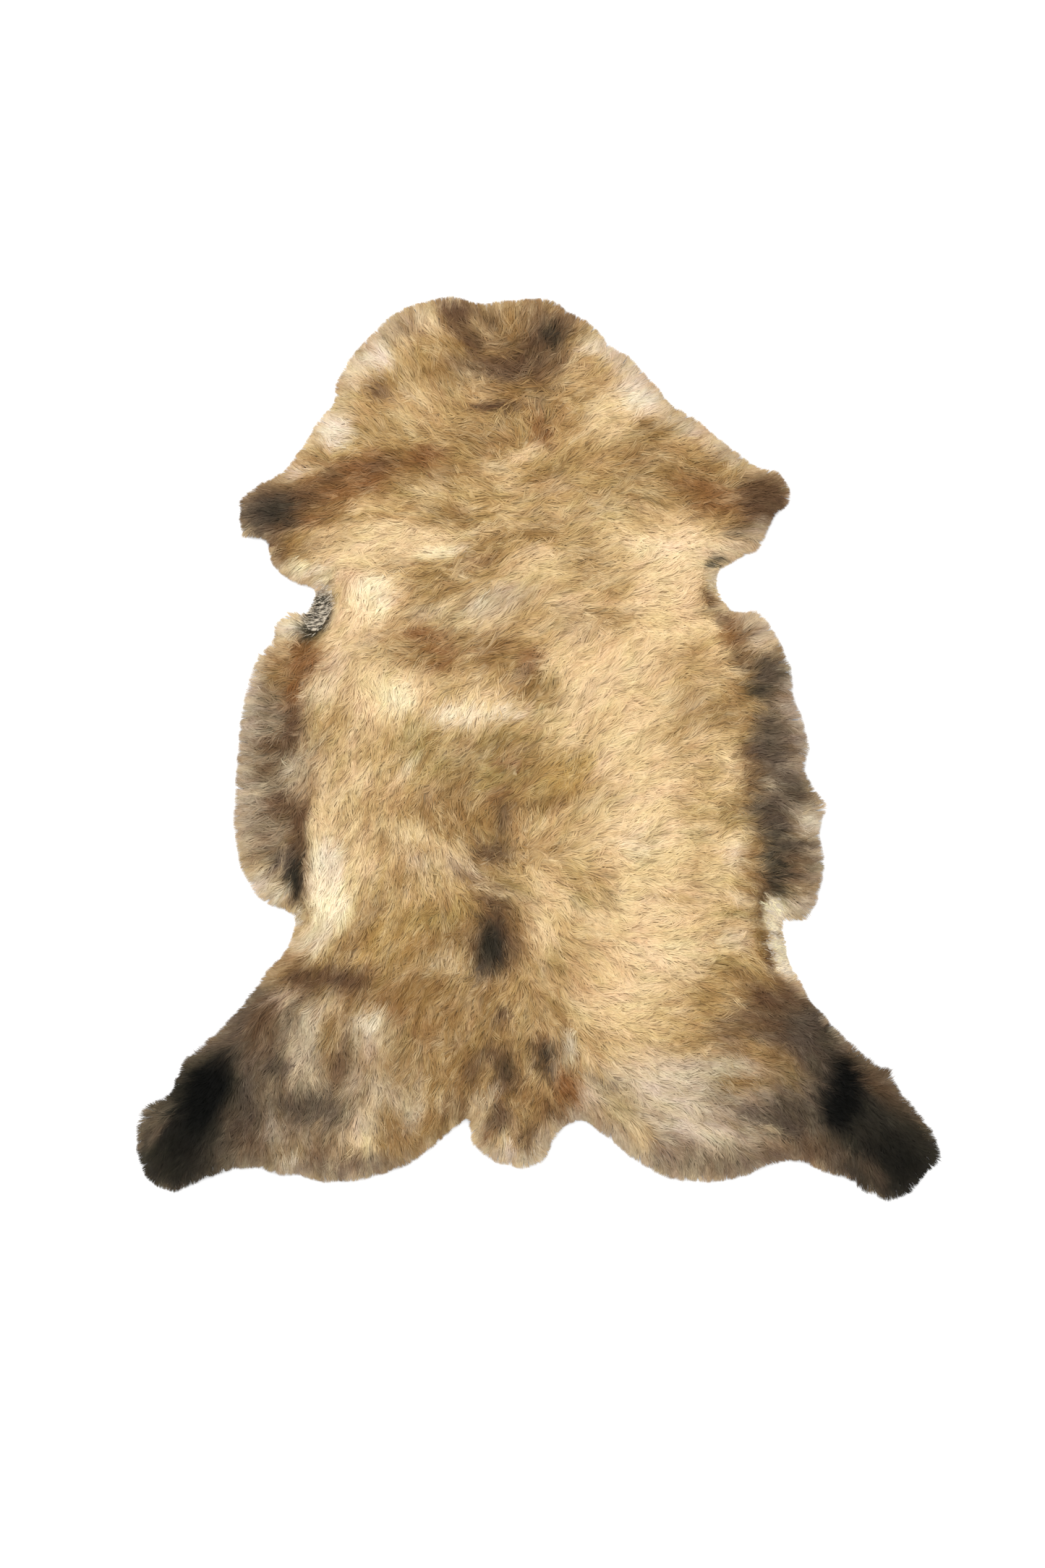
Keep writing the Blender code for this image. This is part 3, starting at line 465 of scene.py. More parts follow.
    ("umber", 1028, 908, 14, 20, 0.7, 20), ("brown", 1006, 990, 14, 30, 0.5),
    ("brown", 1038, 1190, 14, 50, 0.5, -10), ("umber", 1060, 1226, 11, 26, 0.6),
    ("umber", 1036, 870, 14, 16, 0.6, 20), ("tan", 1008, 935, 16, 14, 0.5),
    # left hind leg
    ("slate", 340, 1424, 44, 50, 0.85, 40), ("umber", 362, 1420, 24, 50, 0.85),
    ("rose", 392, 1384, 22, 14, 0.5), ("umber", 414, 1348, 22, 14, 0.9), ("taupe", 404, 1412, 17, 24, 1.1),
    ("silver", 430, 1416, 12, 32, 1.0, 8), ("silver", 418, 1466, 22, 24, 0.6),
    ("silver", 426, 1500, 26, 12, 0.35), ("sand", 458, 1396, 14, 12, 0.7),
    ("brown", 458, 1436, 16, 40, 0.7), ("umber", 476, 1474, 17, 30, 0.8),
    ("milk", 508, 1414, 22, 17, 1.0, -10), ("rose", 512, 1450, 17, 20, 0.5),
    ("slate", 384, 1482, 20, 15, 1.0), ("slate", 430, 1532, 54, 22, 0.9),
    ("slate", 330, 1540, 30, 56, 0.8, -10), ("silver", 530, 1508, 56, 22, 0.6, -20),
    ("brown", 540, 1546, 16, 16, 0.8), ("milk", 500, 1556, 22, 24, 0.5),
    ("cream", 506, 1584, 36, 14, 0.85, -25), ("silver", 574, 1548, 15, 24, 0.85, -20),
    ("brown", 542, 1584, 22, 12, 0.8), ("silver", 374, 1560, 15, 14, 0.85),
    ("silver", 404, 1578, 24, 10, 0.5), ("umber", 440, 1600, 34, 18, 0.6),
    ("taupe", 490, 1618, 100, 16, 0.9, 4), ("milk", 394, 1612, 22, 10, 0.9),
    ("brown", 600, 1566, 56, 24, 0.8, 38), ("brown", 620, 1514, 34, 44, 0.85),
    ("umber", 630, 1532, 22, 20, 0.75, 20), ("slate", 264, 1558, 100, 116, 0.95, -30),
    ("taupe", 310, 1604, 50, 16, 0.6, 8), ("soot", 254, 1552, 60, 104, 1.1, -28),
    ("soot", 236, 1620, 64, 30, 1.0), ("black", 284, 1512, 28, 50, 1.2, -20),
    ("black", 256, 1570, 30, 50, 0.5, -25), ("umber", 345, 1575, 44, 18, 0.5, -50),
    ("sand", 542, 1442, 20, 26, 0.5), ("taupe", 500, 1612, 60, 12, 0.6, 6),
    ("slate", 338, 1550, 18, 24, 0.7, -50), ("taupe", 214, 1556, 12, 34, 0.6, -14),
    ("brown", 620, 1312, 26, 20, 0.6),
    # right hind leg
    ("cream", 850, 1400, 50, 36, 0.4), ("tan", 840, 1440, 40, 30, 0.4), ("tan", 966, 1400, 44, 50, 0.8),
    ("umber", 1084, 1402, 66, 40, 1.0, -38), ("umber", 1026, 1426, 40, 30, 0.6),
    ("tan", 975, 1362, 56, 22, 0.6, -20), ("umber", 1100, 1440, 44, 46, 0.7, 40),
    ("slate", 1124, 1434, 44, 46, 1.0, 40), ("soot", 1142, 1470, 16, 60, 0.9),
    ("tan", 1050, 1456, 30, 12, 0.7, -25), ("brown", 1086, 1476, 34, 26, 0.85),
    ("silver", 1000, 1474, 70, 12, 0.75, -6), ("milk", 930, 1500, 66, 30, 0.5, -10),
    ("brown", 1030, 1500, 26, 14, 0.85), ("taupe", 1000, 1516, 26, 12, 0.5),
    ("silver", 950, 1536, 60, 14, 0.6, -8), ("milk", 950, 1562, 60, 14, 0.6, -4),
    ("slate", 1040, 1540, 14, 12, 0.8), ("slate", 1094, 1544, 42, 36, 1.0),
    ("sand", 1066, 1562, 16, 6, 0.6, -20), ("umber", 1120, 1600, 56, 20, 0.8, -8),
    ("umber", 1056, 1604, 50, 16, 0.8, 8), ("olive", 860, 1534, 20, 32, 0.6, 35),
    ("taupe", 836, 1494, 26, 8, 0.8, -12), ("rose", 812, 1530, 18, 16, 0.9),
    ("brown", 888, 1574, 26, 20, 0.7, 40), ("taupe", 936, 1592, 28, 26, 0.8),
    ("taupe", 1000, 1612, 110, 20, 0.85, 2), ("umber", 1150, 1598, 40, 26, 0.7, -20),
    ("slate", 1200, 1530, 120, 84, 0.97, -45), ("umber", 1216, 1506, 70, 22, 0.7, -50),
    ("soot", 1220, 1580, 90, 46, 1.1, -45), ("soot", 1262, 1616, 66, 60, 1.4, -20),
    ("umber", 1186, 1626, 36, 22, 1.0, -25), ("black", 1166, 1510, 28, 48, 1.4, -4),
    ("black", 1240, 1606, 50, 30, 0.5, -40), ("cream", 935, 1350, 34, 20, 0.7),
    ("slate", 1120, 1452, 22, 46, 0.8, 20), ("slate", 1186, 1622, 36, 22, 0.95, -25),
    ("soot", 1194, 1636, 30, 12, 0.6, -25), ("tan", 1052, 1350, 22, 12, 0.5, -30),
    ("brown", 826, 1540, 22, 16, 0.5, -30),
    # tail
    ("brown", 700, 1500, 80, 44, 0.8), ("brown", 660, 1436, 50, 20, 0.5),
    ("umber", 684, 1464, 32, 14, 0.85, -8), ("umber", 650, 1484, 14, 17, 0.7),
    ("soot", 698, 1492, 17, 17, 0.7, 20), ("umber", 752, 1446, 22, 16, 0.85),
    ("soot", 756, 1458, 13, 13, 0.75), ("umber", 742, 1474, 13, 10, 0.85), ("slate", 760, 1488, 17, 9, 0.9),
    ("silver", 784, 1448, 13, 20, 0.95), ("silver", 776, 1476, 13, 7, 0.7, -20),
    ("rust", 786, 1508, 20, 26, 1.1, -10), ("rust", 764, 1540, 26, 12, 0.8, -15),
    ("gold", 748, 1506, 8, 28, 1.1, 45), ("silver", 660, 1526, 13, 14, 0.7, -20),
    ("silver", 682, 1520, 17, 7, 0.9, 30), ("brown", 726, 1540, 30, 18, 0.95),
    ("brown", 716, 1566, 50, 34, 0.35), ("umber", 692, 1550, 18, 20, 1.2), ("ash", 676, 1568, 22, 17, 0.6),
    ("rust", 674, 1576, 10, 6, 0.8), ("umber", 732, 1572, 12, 17, 0.95, -15),
    ("ash", 750, 1580, 12, 20, 0.7), ("milk", 706, 1588, 6, 6, 0.9), ("rose", 700, 1600, 44, 10, 0.8, -8),
    ("milk", 730, 1608, 34, 8, 0.9), ("umber", 700, 1504, 22, 14, 0.7), ("umber", 770, 1544, 24, 12, 0.6),
    ("umber", 690, 1560, 20, 15, 0.7),
    # short-haired places
    ("taupe", 449, 824, 11, 18, 1.1), ("soot", 436, 852, 18, 28, 1.6, -25),
    ("soot", 997, 776, 13, 6, 1.2, 15), ("silver", 989, 796, 6, 14, 0.9), ("umber", 986, 828, 8, 18, 0.9),
    ("umber", 1000, 852, 10, 11, 0.8, 30), ("silver", 411, 1270, 7, 13, 0.9),
    ("white", 1073, 1264, 14, 24, 1.4), ("white", 1084, 1322, 11, 32, 1.4, 20),
    # The umber at 1064 px across, 1322 down: painted shadow along the wool's edge beside the right bare
    # strip
    ("umber", 1064, 1322, 6, 34, 0.9, 20), ("slate", 1076, 1292, 12, 4, 0.6, -20),
    ("silver", 1135, 1398, 5, 52, 0.9, 40),
]]


def to_x(px):
    """World x of a column of the photograph."""
    return (px - RUG_PX) * PIXEL


def to_y(py):
    """World y of a row of the photograph."""
    return (RUG_PY - py) * PIXEL


def eased(values):
    """Values held between 0 and 1 and eased at both ends."""
    held = np.clip(values, 0.0, 1.0)
    return held * held * (3.0 - 2.0 * held)


def drift(x, y, size, seed):
    """Smooth noise between -1 and 1 over the plane, with lumps of the given size."""
    lattice = np.random.default_rng(seed).uniform(-1.0, 1.0, (LATTICE, LATTICE))
    u, v = x / size + LATTICE_START, y / size + LATTICE_START
    i, j = np.floor(u).astype(int), np.floor(v).astype(int)
    a, b = eased(u - i), eased(v - j)
    i, j = i % (LATTICE - 1), j % (LATTICE - 1)
    low = lattice[i, j] * (1.0 - a) + lattice[i + 1, j] * a
    high = lattice[i, j + 1] * (1.0 - a) + lattice[i + 1, j + 1] * a
    return low * (1.0 - b) + high * b


def streaks(x, y, aim, size, length, seed):
    """Noise drawn out along the direction in which the wool is combed."""
    drawn = np.zeros(len(x))
    for share in np.linspace(-0.5, 0.5, STREAK_SAMPLES):
        drawn += drift(x + aim[:, 0] * share * length, y + aim[:, 1] * share * length, size, seed)
    return drawn / STREAK_LEVEL


def layered(base, x, y, layers):
    """A base with layers of noise added, each one's share, size and seed from a table."""
    for share, size, seed in layers:
        base = base + share * drift(x, y, size, seed)
    return base


def combed(base, x, y, aim, layers):
    """A base with layers of streaks added, each one's share, size, length and seed from a table."""
    for share, size, length, seed in layers:
        base = base + share * streaks(x, y, aim, size, length, seed)
    return base


def linear(colour):
    """Linear light from colour values between 0 and 1 as the eye sees them."""
    colour = np.clip(colour, 0.0, 1.0)
    return np.where(colour <= 0.04045, colour / 12.92, ((colour + 0.055) / 1.055) ** 2.4)


def in_ellipse(x, y, wide, high, lean):
    """How many radii each offset lies from the middle of a leaning ellipse."""
    turn = radians(lean)
    across = (x * cos(turn) + y * sin(turn)) / wide
    along = (y * cos(turn) - x * sin(turn)) / high
    return np.hypot(across, along)


def closed_curve(rows, steps):
    """Points of a smooth closed curve through the rows, all columns together."""
    rows = np.array(rows, dtype=float)
    count = len(rows)
    curve = []
    for i in range(count):
        before, start, end, after = (rows[(i + k) % count] for k in (-1, 0, 1, 2))
        t0 = 0.0
        t1 = t0 + np.hypot(*(start - before)[:2]) ** 0.5
        t2 = t1 + np.hypot(*(end - start)[:2]) ** 0.5
        t3 = t2 + np.hypot(*(after - end)[:2]) ** 0.5
        for t in np.linspace(t1, t2, steps, endpoint=False):
            a = ((t1 - t) * before + (t - t0) * start) / (t1 - t0)
            b = ((t2 - t) * start + (t - t1) * end) / (t2 - t1)
            c = ((t3 - t) * end + (t - t2) * after) / (t3 - t2)
            d = ((t2 - t) * a + (t - t0) * b) / (t2 - t0)
            e = ((t3 - t) * b + (t - t1) * c) / (t3 - t1)
            curve.append(((t2 - t) * d + (t - t1) * e) / (t2 - t1))
    return np.array(curve)


def smoothed(values, passes):
    """Closed rows averaged with their neighbours."""
    for _ in range(passes):
        values = 0.25 * np.roll(values, 1, axis=0) + 0.5 * values + 0.25 * np.roll(values, -1, axis=0)
    return values


def outward(points):
    """Unit vectors that point away from a closed clockwise line."""
    along = np.roll(points, -1, axis=0) - np.roll(points, 1, axis=0)
    along /= np.linalg.norm(along, axis=1, keepdims=True)
    return np.column_stack([-along[:, 1], along[:, 0]])


def evened(rows, count):
    """A closed line's rows at equal steps along it."""
    closed = np.vstack([rows, rows[:1]])
    length = np.concatenate([[0.0], np.cumsum(np.hypot(*np.diff(closed[:, :2], axis=0).T))])
    wanted = np.arange(count) / count * length[-1]
    return np.column_stack([np.interp(wanted, length, column) for column in closed.T])


def plan_tree(places):
    """A search tree of places in plan, numbered in their order."""
    tree = kdtree.KDTree(len(places))
    for index, (x, y) in enumerate(places):
        tree.insert((x, y, 0.0), index)
    tree.balance()
    return tree


# The wool's reach, its outward directions and the hide's cut edge, all as rows along the rim
rim = evened(closed_curve(OUTLINE, CURVE_STEPS) * MM, RIM_ROWS)
rim[:, :2] -= 0.5 * (rim[:, :2].min(axis=0) + rim[:, :2].max(axis=0))
rim_out = outward(smoothed(rim[:, :2], RIM_SMOOTHING))
cut_edge = smoothed(rim[:, :2] - rim_out * rim[:, 2:3], RIM_SMOOTHING)
rim_tree = plan_tree(rim[:, :2])


class Surface:
    """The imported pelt's top, read once as a grid of heights."""

    def __init__(self, pelt):
        mesh = pelt.data
        corners = [vertex.co for vertex in mesh.vertices]
        tree = BVHTree.FromPolygons(corners, [tuple(face.vertices) for face in mesh.polygons])
        low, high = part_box(pelt.name)
        margin = HEIGHT_MARGIN * HEIGHT_PITCH
        self.x0, self.y0 = low.x - margin, low.y - margin
        self.columns = int((high.x - low.x + 2 * margin) / HEIGHT_PITCH) + 1
        self.rows = int((high.y - low.y + 2 * margin) / HEIGHT_PITCH) + 1
        heights = np.zeros((self.rows, self.columns))
        down = Vector((0.0, 0.0, -1.0))
        for j in range(self.rows):
            for i in range(self.columns):
                above = Vector((self.x0 + i * HEIGHT_PITCH, self.y0 + j * HEIGHT_PITCH, RAY_START))
                spot = tree.ray_cast(above, down)[0]
                if spot is not None:
                    heights[j, i] = spot.z
        self.covered = (heights > 0.0).astype(float)
        self.heights = heights
        for _ in range(HEIGHT_BLUR):
            for axis in (0, 1):
                around = np.roll(self.heights, 1, axis) + np.roll(self.heights, -1, axis)
                self.heights = 0.5 * self.heights + 0.25 * around

    def at(self, grid, x, y):
        """The grid's value at each point."""
        u = np.clip((x - self.x0) / HEIGHT_PITCH, 0, self.columns - 2)
        v = np.clip((y - self.y0) / HEIGHT_PITCH, 0, self.rows - 2)
        i, j = u.astype(int), v.astype(int)
        a, b = u - i, v - j
        low = grid[j, i] * (1.0 - a) + grid[j, i + 1] * a
        high = grid[j + 1, i] * (1.0 - a) + grid[j + 1, i + 1] * a
        return low * (1.0 - b) + high * b

    def height(self, x, y):
        """How high the wool stands at each point."""
        return self.at(self.heights, x, y)

    def holds(self, x, y):
        """Whether each point lies on the pelt."""
        return self.at(self.covered, x, y) > 0.5


def rim_of(x, y):
    """For each point, the row of the rim that is nearest and its distance."""
    found = [rim_tree.find((a, b, 0.0))[1:] for a, b in zip(x, y)]
    return np.array([row[0] for row in found]), np.array([row[1] for row in found])


def bareness(x, y):
    """How short the wool is at each point, from 0 in full wool to 1."""
    bare = np.zeros(len(x))
    for place in BARE_PLACES:
        radii = in_ellipse(x / MM - place.x, y / MM - place.y, place.half_width, place.half_length,
                           place.lean)
        bare = np.maximum(bare, np.clip((BARE_END - radii) / BARE_FADE, 0.0, 1.0))
    return eased(bare)


def flow_at(x, y):
    """For each point, the unit line along which the wool is combed, how far its sense is agreed,
    from -1 to 1, and how curly it is, from 0 to 1."""
    angles = np.radians([flow.degrees for flow in FLOWS])
    places = np.array([(to_x(flow.px), to_y(flow.py)) for flow in FLOWS])
    away = (x[:, None] - places[:, 0]) ** 2 + (y[:, None] - places[:, 1]) ** 2
    weight = 1.0 / (away + FLOW_REACH ** 2) ** FLOW_FALL
    weight /= weight.sum(axis=1, keepdims=True)
    twice = np.column_stack([weight @ np.cos(2.0 * angles), weight @ np.sin(2.0 * angles)])
    line = 0.5 * np.arctan2(twice[:, 1], twice[:, 0])
    agreed = (weight @ np.cos(angles)) * np.cos(line) + (weight @ np.sin(angles)) * np.sin(line)
    curly = 1.0 - np.hypot(twice[:, 0], twice[:, 1])
    line += layered(0.0, x, y, FLOW_WAVES)
    return np.column_stack([np.cos(line), np.sin(line)]), agreed, curly


def toned(colours, tone, share):
    """Colours moved towards a named tone by each one's share."""
    return colours + np.clip(share, 0.0, 1.0)[:, None] * (np.array(TONES[tone]) / 255.0 - colours)


def lively(colours):
    """How much the wool's tone varies from lock to lock, which is less where it is pale or grey."""
    warmth = np.clip(0.45 + 2.0 * (colours[:, 0] - colours[:, 2]), 0.55, 1.0)
    return warmth * np.clip(1.0 + 4.5 * (0.69 - colours.mean(axis=1)), 0.6, 2.0)


def wool_colours(x, y, away, aim):
    """The wool's colour at each point, as the eye sees it, from 0 to 1."""
    tongue = combed(0.0, x, y, aim, TONGUES)
    across = layered(x, x, y, WARP_ACROSS) + aim[:, 0] * tongue
    along = layered(y, x, y, WARP_ALONG) + aim[:, 1] * tongue
    colours = np.tile(np.array(TONES[BASE_TONE]) / 255.0, (len(x), 1))
    for spot in BLOTCHES:
        radii = in_ellipse(across - to_x(spot.px), along - to_y(spot.py), spot.wide * PIXEL,
                           spot.high * PIXEL, spot.lean)
        colours = toned(colours, spot.tone, spot.strength * eased((BLOTCH_END - radii) / BLOTCH_FADE))
    bright = colours.mean(axis=1)
    pale = np.clip(1.5 * bright - 0.1, 0.0, 1.0)
    colours = toned(colours, "ash", ASH_SHARE * eased(1.0 - away / ASH_BAND) * pale)
    room = np.clip(bright * 1.8 - 0.3, 0.0, 1.0) * lively(colours)
    mottle = combed(layered(0.0, x, y, MOTTLE), x, y, aim, MOTTLE_STREAKS)
    hue = combed(layered(0.0, x, y, HUE), x, y, aim, HUE_STREAKS)
    tint = combed(layered(0.0, x, y, TINT), x, y, aim, TINT_STREAKS)
    colours = colours * (1.0 + tint[:, None] * GREENER)
    for level, tones in ((mottle, MOTTLE_TONES), (hue, HUE_TONES)):
        for tone, share in tones.items():
            colours = toned(colours, tone, share * level * room)
    return colours


def hex_points(pitch, seed, jitter):
    """Jittered points of a grid of even triangles over the rug."""
    low, high = rim[:, :2].min(axis=0), rim[:, :2].max(axis=0)
    rows = np.arange(low[1], high[1], pitch * sin(pi / 3.0))
    columns = np.arange(low[0], high[0], pitch)
    x, y = np.meshgrid(columns, rows)
    x = x + pitch / 2.0 * (np.arange(len(rows)) % 2)[:, None]
    random = np.random.default_rng(seed)
    x = x + random.uniform(-jitter, jitter, x.shape) * pitch
    y = y + random.uniform(-jitter, jitter, y.shape) * pitch
    return x.ravel(), y.ravel()


def nearest(tree_x, tree_y, x, y):
    """For each point, the index of the nearest of a set."""
    tree = plan_tree(list(zip(tree_x, tree_y)))
    return np.array([tree.find((a, b, 0.0))[1] for a, b in zip(x, y)])


def placed(name, data):
    """A new object of this data, in the scene."""
    thing = bpy.data.objects.new(name, data)
    bpy.context.scene.collection.objects.link(thing)
    return thing


def painted(mesh, colours):
    """Each point's colour, kept on the mesh for its material."""
    paint = mesh.color_attributes.new(PAINT, "FLOAT_COLOR", "POINT")
    paint.data.foreach_set("color", np.column_stack([colours, np.ones(len(colours))]).ravel())


def mesh_object(name, vertices, faces, material, colours=None, smooth=True):
    """A mesh object from plain lists, with a colour for each point where there are any."""
    mesh = bpy.data.meshes.new(name)
    mesh.from_pydata(vertices, [], faces)
    if colours is not None:
        painted(mesh, colours)
    mesh.polygons.foreach_set("use_smooth", np.full(len(mesh.polygons), smooth))
    mesh.materials.append(material)
    mesh.update()
    return placed(name, mesh)


def sheet_points(surface):
    """The cut edge's points and the inner points of a sheet cut to it."""
    x, y = hex_points(SHEET_PITCH, SHEET_SEED, 0.0)
    keep = surface.holds(x, y)
    x, y = x[keep], y[keep]
    rows, away = rim_of(x, y)
    keep = away > rim[rows, 2] + SHEET_GAP * SHEET_PITCH
    return evened(cut_edge, EDGE_POINTS), np.column_stack([x[keep], y[keep]])


def sheet_triangles(line, inner):
    """Triangles that fill a closed line with the inner points as corners."""
    points = [Vector(p) for p in line] + [Vector(p) for p in inner]
    sides = [(i, (i + 1) % len(line)) for i in range(len(line))]
    result = delaunay_2d_cdt(points, sides, [], 1, 1e-6)
    faces, sources = result[2], result[3]
    return [tuple(sources[i][0] for i in face) for face in faces]


def closed_sheet(name, plan, faces, rim_count, bottom, top, material, colours=None):
    """A closed sheet between two heights over one plan, whose first points are its edge."""
    count = len(plan)
    vertices = [(x, y, z) for (x, y), z in zip(plan, top)] + [(x, y, z) for (x, y), z in zip(plan, bottom)]
    walls = [(i, (i + 1) % rim_count, count + (i + 1) % rim_count, count + i) for i in range(rim_count)]
    under = [tuple(count + i for i in reversed(face)) for face in faces]
    if colours is not None:
        colours = np.vstack([colours, colours])
    return mesh_object(name, vertices, list(faces) + under + walls, material, colours)


def scatter_locks(random, surface):
    """Where the locks grow on the hide, closer together near its edge: x, y, rim row and distance."""
    low, high = rim[:, :2].min(axis=0), rim[:, :2].max(axis=0)
    tried = int(LOCK_COUNT * LOCK_TRIES)
    x = random.uniform(low[0], high[0], tried)
    y = random.uniform(low[1], high[1], tried)
    keep = surface.holds(x, y)
    x, y = x[keep], y[keep]
    rows, away = rim_of(x, y)
    depth = away - rim[rows, 2]
    chance = OPEN_CHANCE + EDGE_CHANCE * eased(1.0 - depth / EDGE_BAND)
    keep = (depth > 0.0) & (random.uniform(size=len(x)) < chance)
    return tuple(values[keep][:LOCK_COUNT] for values in (x, y, rows, away))


def comb_locks(surface):
    """For every lock, its points, their colours, how bare its place is and where it grows in y."""
    random = np.random.default_rng(LOCK_SEED)
    x, y, rows, away = scatter_locks(random, surface)
    count = len(x)

    clump_x, clump_y = hex_points(CLUMP_PITCH, CLUMP_SEED, CLUMP_JITTER)
    clump = nearest(clump_x, clump_y, x, y)
    tuft_x, tuft_y = hex_points(TUFT_PITCH, TUFT_SEED, TUFT_JITTER)
    tuft = nearest(tuft_x, tuft_y, clump_x, clump_y)
    clumps = len(clump_x)
    tufts = len(tuft_x)

    tuft_turn = random.normal(0.0, TUFT_TURN, tufts)
    tuft_lift = random.uniform(*TUFT_LIFT, tufts)
    tuft_shade = random.normal(0.0, TUFT_SHADE, tufts)
    clump_turn = random.normal(0.0, CLUMP_TURN, clumps) + tuft_turn[tuft]
    clump_lift = random.uniform(*CLUMP_LIFT, clumps) + tuft_lift[tuft]
    clump_shade = random.normal(0.0, CLUMP_SHADE, clumps) + tuft_shade[tuft]
    clump_length = random.uniform(*CLUMP_LENGTH, clumps)
    clump_bend = random.normal(0.0, CLUMP_BEND, clumps)

    # which way each lock lies: along the combing, with its clump's turn, and outwards at the rim
    bare = bareness(x, y)
    aim, agreed, curly = flow_at(x, y)
    clump_side = random.uniform(-1.0, 1.0, clumps)
    clump_curl = random.normal(0.0, CURL_TURN, clumps)
    aim *= np.where(SIDE_SHARE * agreed > clump_side[clump], 1.0, -1.0)[:, None]
    streak = combed(0.0, x, y, aim, LOCK_STREAKS)
    turn = clump_turn[clump] + clump_curl[clump] * curly + random.normal(0.0, LOCK_TURN, count)
    aim = np.column_stack([aim[:, 0] * np.cos(turn) - aim[:, 1] * np.sin(turn),
                           aim[:, 0] * np.sin(turn) + aim[:, 1] * np.cos(turn)])
    pull = eased(1.0 - (away - RIM_START) / RIM_BAND)
    aim += RIM_PULL * pull[:, None] * rim_out[rows]
    aim /= np.linalg.norm(aim, axis=1, keepdims=True)

    # how far each one reaches: short at the bare places, and not past the rim's scallops
    length = LOCK_LENGTH * clump_length[clump] * random.uniform(*LOCK_SPREAD, count)
    length *= 1.0 + RIM_GROWTH * pull
    length = length * (1.0 - bare) + SHORT_LOCK * bare
    reach = length * LOCK_REACH
    reach *= 1.0 - BARE_HOLD * (1.0 - bare) * bareness(x + aim[:, 0] * reach, y + aim[:, 1] * reach)
    facing = (aim * rim_out[rows]).sum(axis=1)
    scallop = layered(0.0, rim[rows, 0], rim[rows, 1], RIM_SCALLOPS) + layered(0.0, x, y, TIP_SCALLOPS)
    over = RIM_OVER + NECK_OVER * eased((y - NECK_Y) / NECK_FADE)
    room = away + over + scallop + random.uniform(*TIP_SPREAD, count)
    room = np.maximum(room / np.maximum(facing, LEAST_FACING), LEAST_REACH)
    reach = np.where(facing > 0.0, np.minimum(reach, room), reach)

    # the lock's line in plan: bent with its clump, and drawn to where the clump's tips meet
    side = np.column_stack([-aim[:, 1], aim[:, 0]])
    bend = (clump_bend[clump] + random.normal(0.0, LOCK_BEND, count)) * reach
    own = np.zeros((count, len(STEPS), 3))
    for k, step in enumerate(STEPS):
        own[:, k, :2] = np.column_stack([x, y]) + aim * (reach * step)[:, None]
        own[:, k, :2] += side * (bend * (step * step - 0.6 * step))[:, None]
    gather = np.zeros((clumps, 2))
    members = np.bincount(clump, minlength=clumps).clip(1)
    for axis in (0, 1):
        gather[:, axis] = np.bincount(clump, own[:, -1, axis], clumps) / members
    loose = random.uniform(*LOOSE_SPREAD, count) * (1.0 - RIM_LOOSE * pull)
    for k, step in enumerate(STEPS[1:], start=1):
        share = CLUMP_PULL * step ** 1.3 * loose
        drawn = gather[clump] - own[:, -1, :2]
        own[:, k, :2] += drawn * (share * step)[:, None]

    # its height over the wool's surface
    fluff = clump_lift[clump] + STREAK_LIFT * streak + random.normal(0.0, LOCK_LIFT, count)
    for k, step in enumerate(STEPS):
        ground = surface.height(own[:, k, 0], own[:, k, 1])
        lift = LIFTS[k] + fluff * min(1.0, 1.6 * step)
        lift = lift * (1.0 - BARE_FLAT * bare) + BARE_LIFT * bare
        own[:, k, 2] = np.maximum(ground + lift, LOW_ROOT + LOW_RISE * step)

    # its tone, from where it shows
    shade = clump_shade[clump] + STREAK_SHADE * streak + random.normal(0.0, LOCK_SHADE, count)
    fleck = bare * (random.uniform(size=count) < FLECK_CHANCE)
    slide = random.normal(0.0, TONE_SLIDE, count) * reach
    ends = []
    for step in TONE_STEPS:
        show = reach * step + slide
        part = wool_colours(x + aim[:, 0] * show, y + aim[:, 1] * show, away - show * facing, aim)
        varied = shade * lively(part)
        part = toned(part, "milk", FLECK_SHARE * fleck)
        part = toned(part, "white", LIGHTER * varied * part.mean(axis=1))
        part = toned(part, "rust", -DARKER * varied * part.mean(axis=1))
        ends.append(part * (1.0 + DULLER * np.minimum(varied, 0.0)[:, None]))
    colours = np.stack([ends[0] * (1.0 - step) + ends[1] * step for step in STEPS], axis=1)
    return own, colours, bare, y


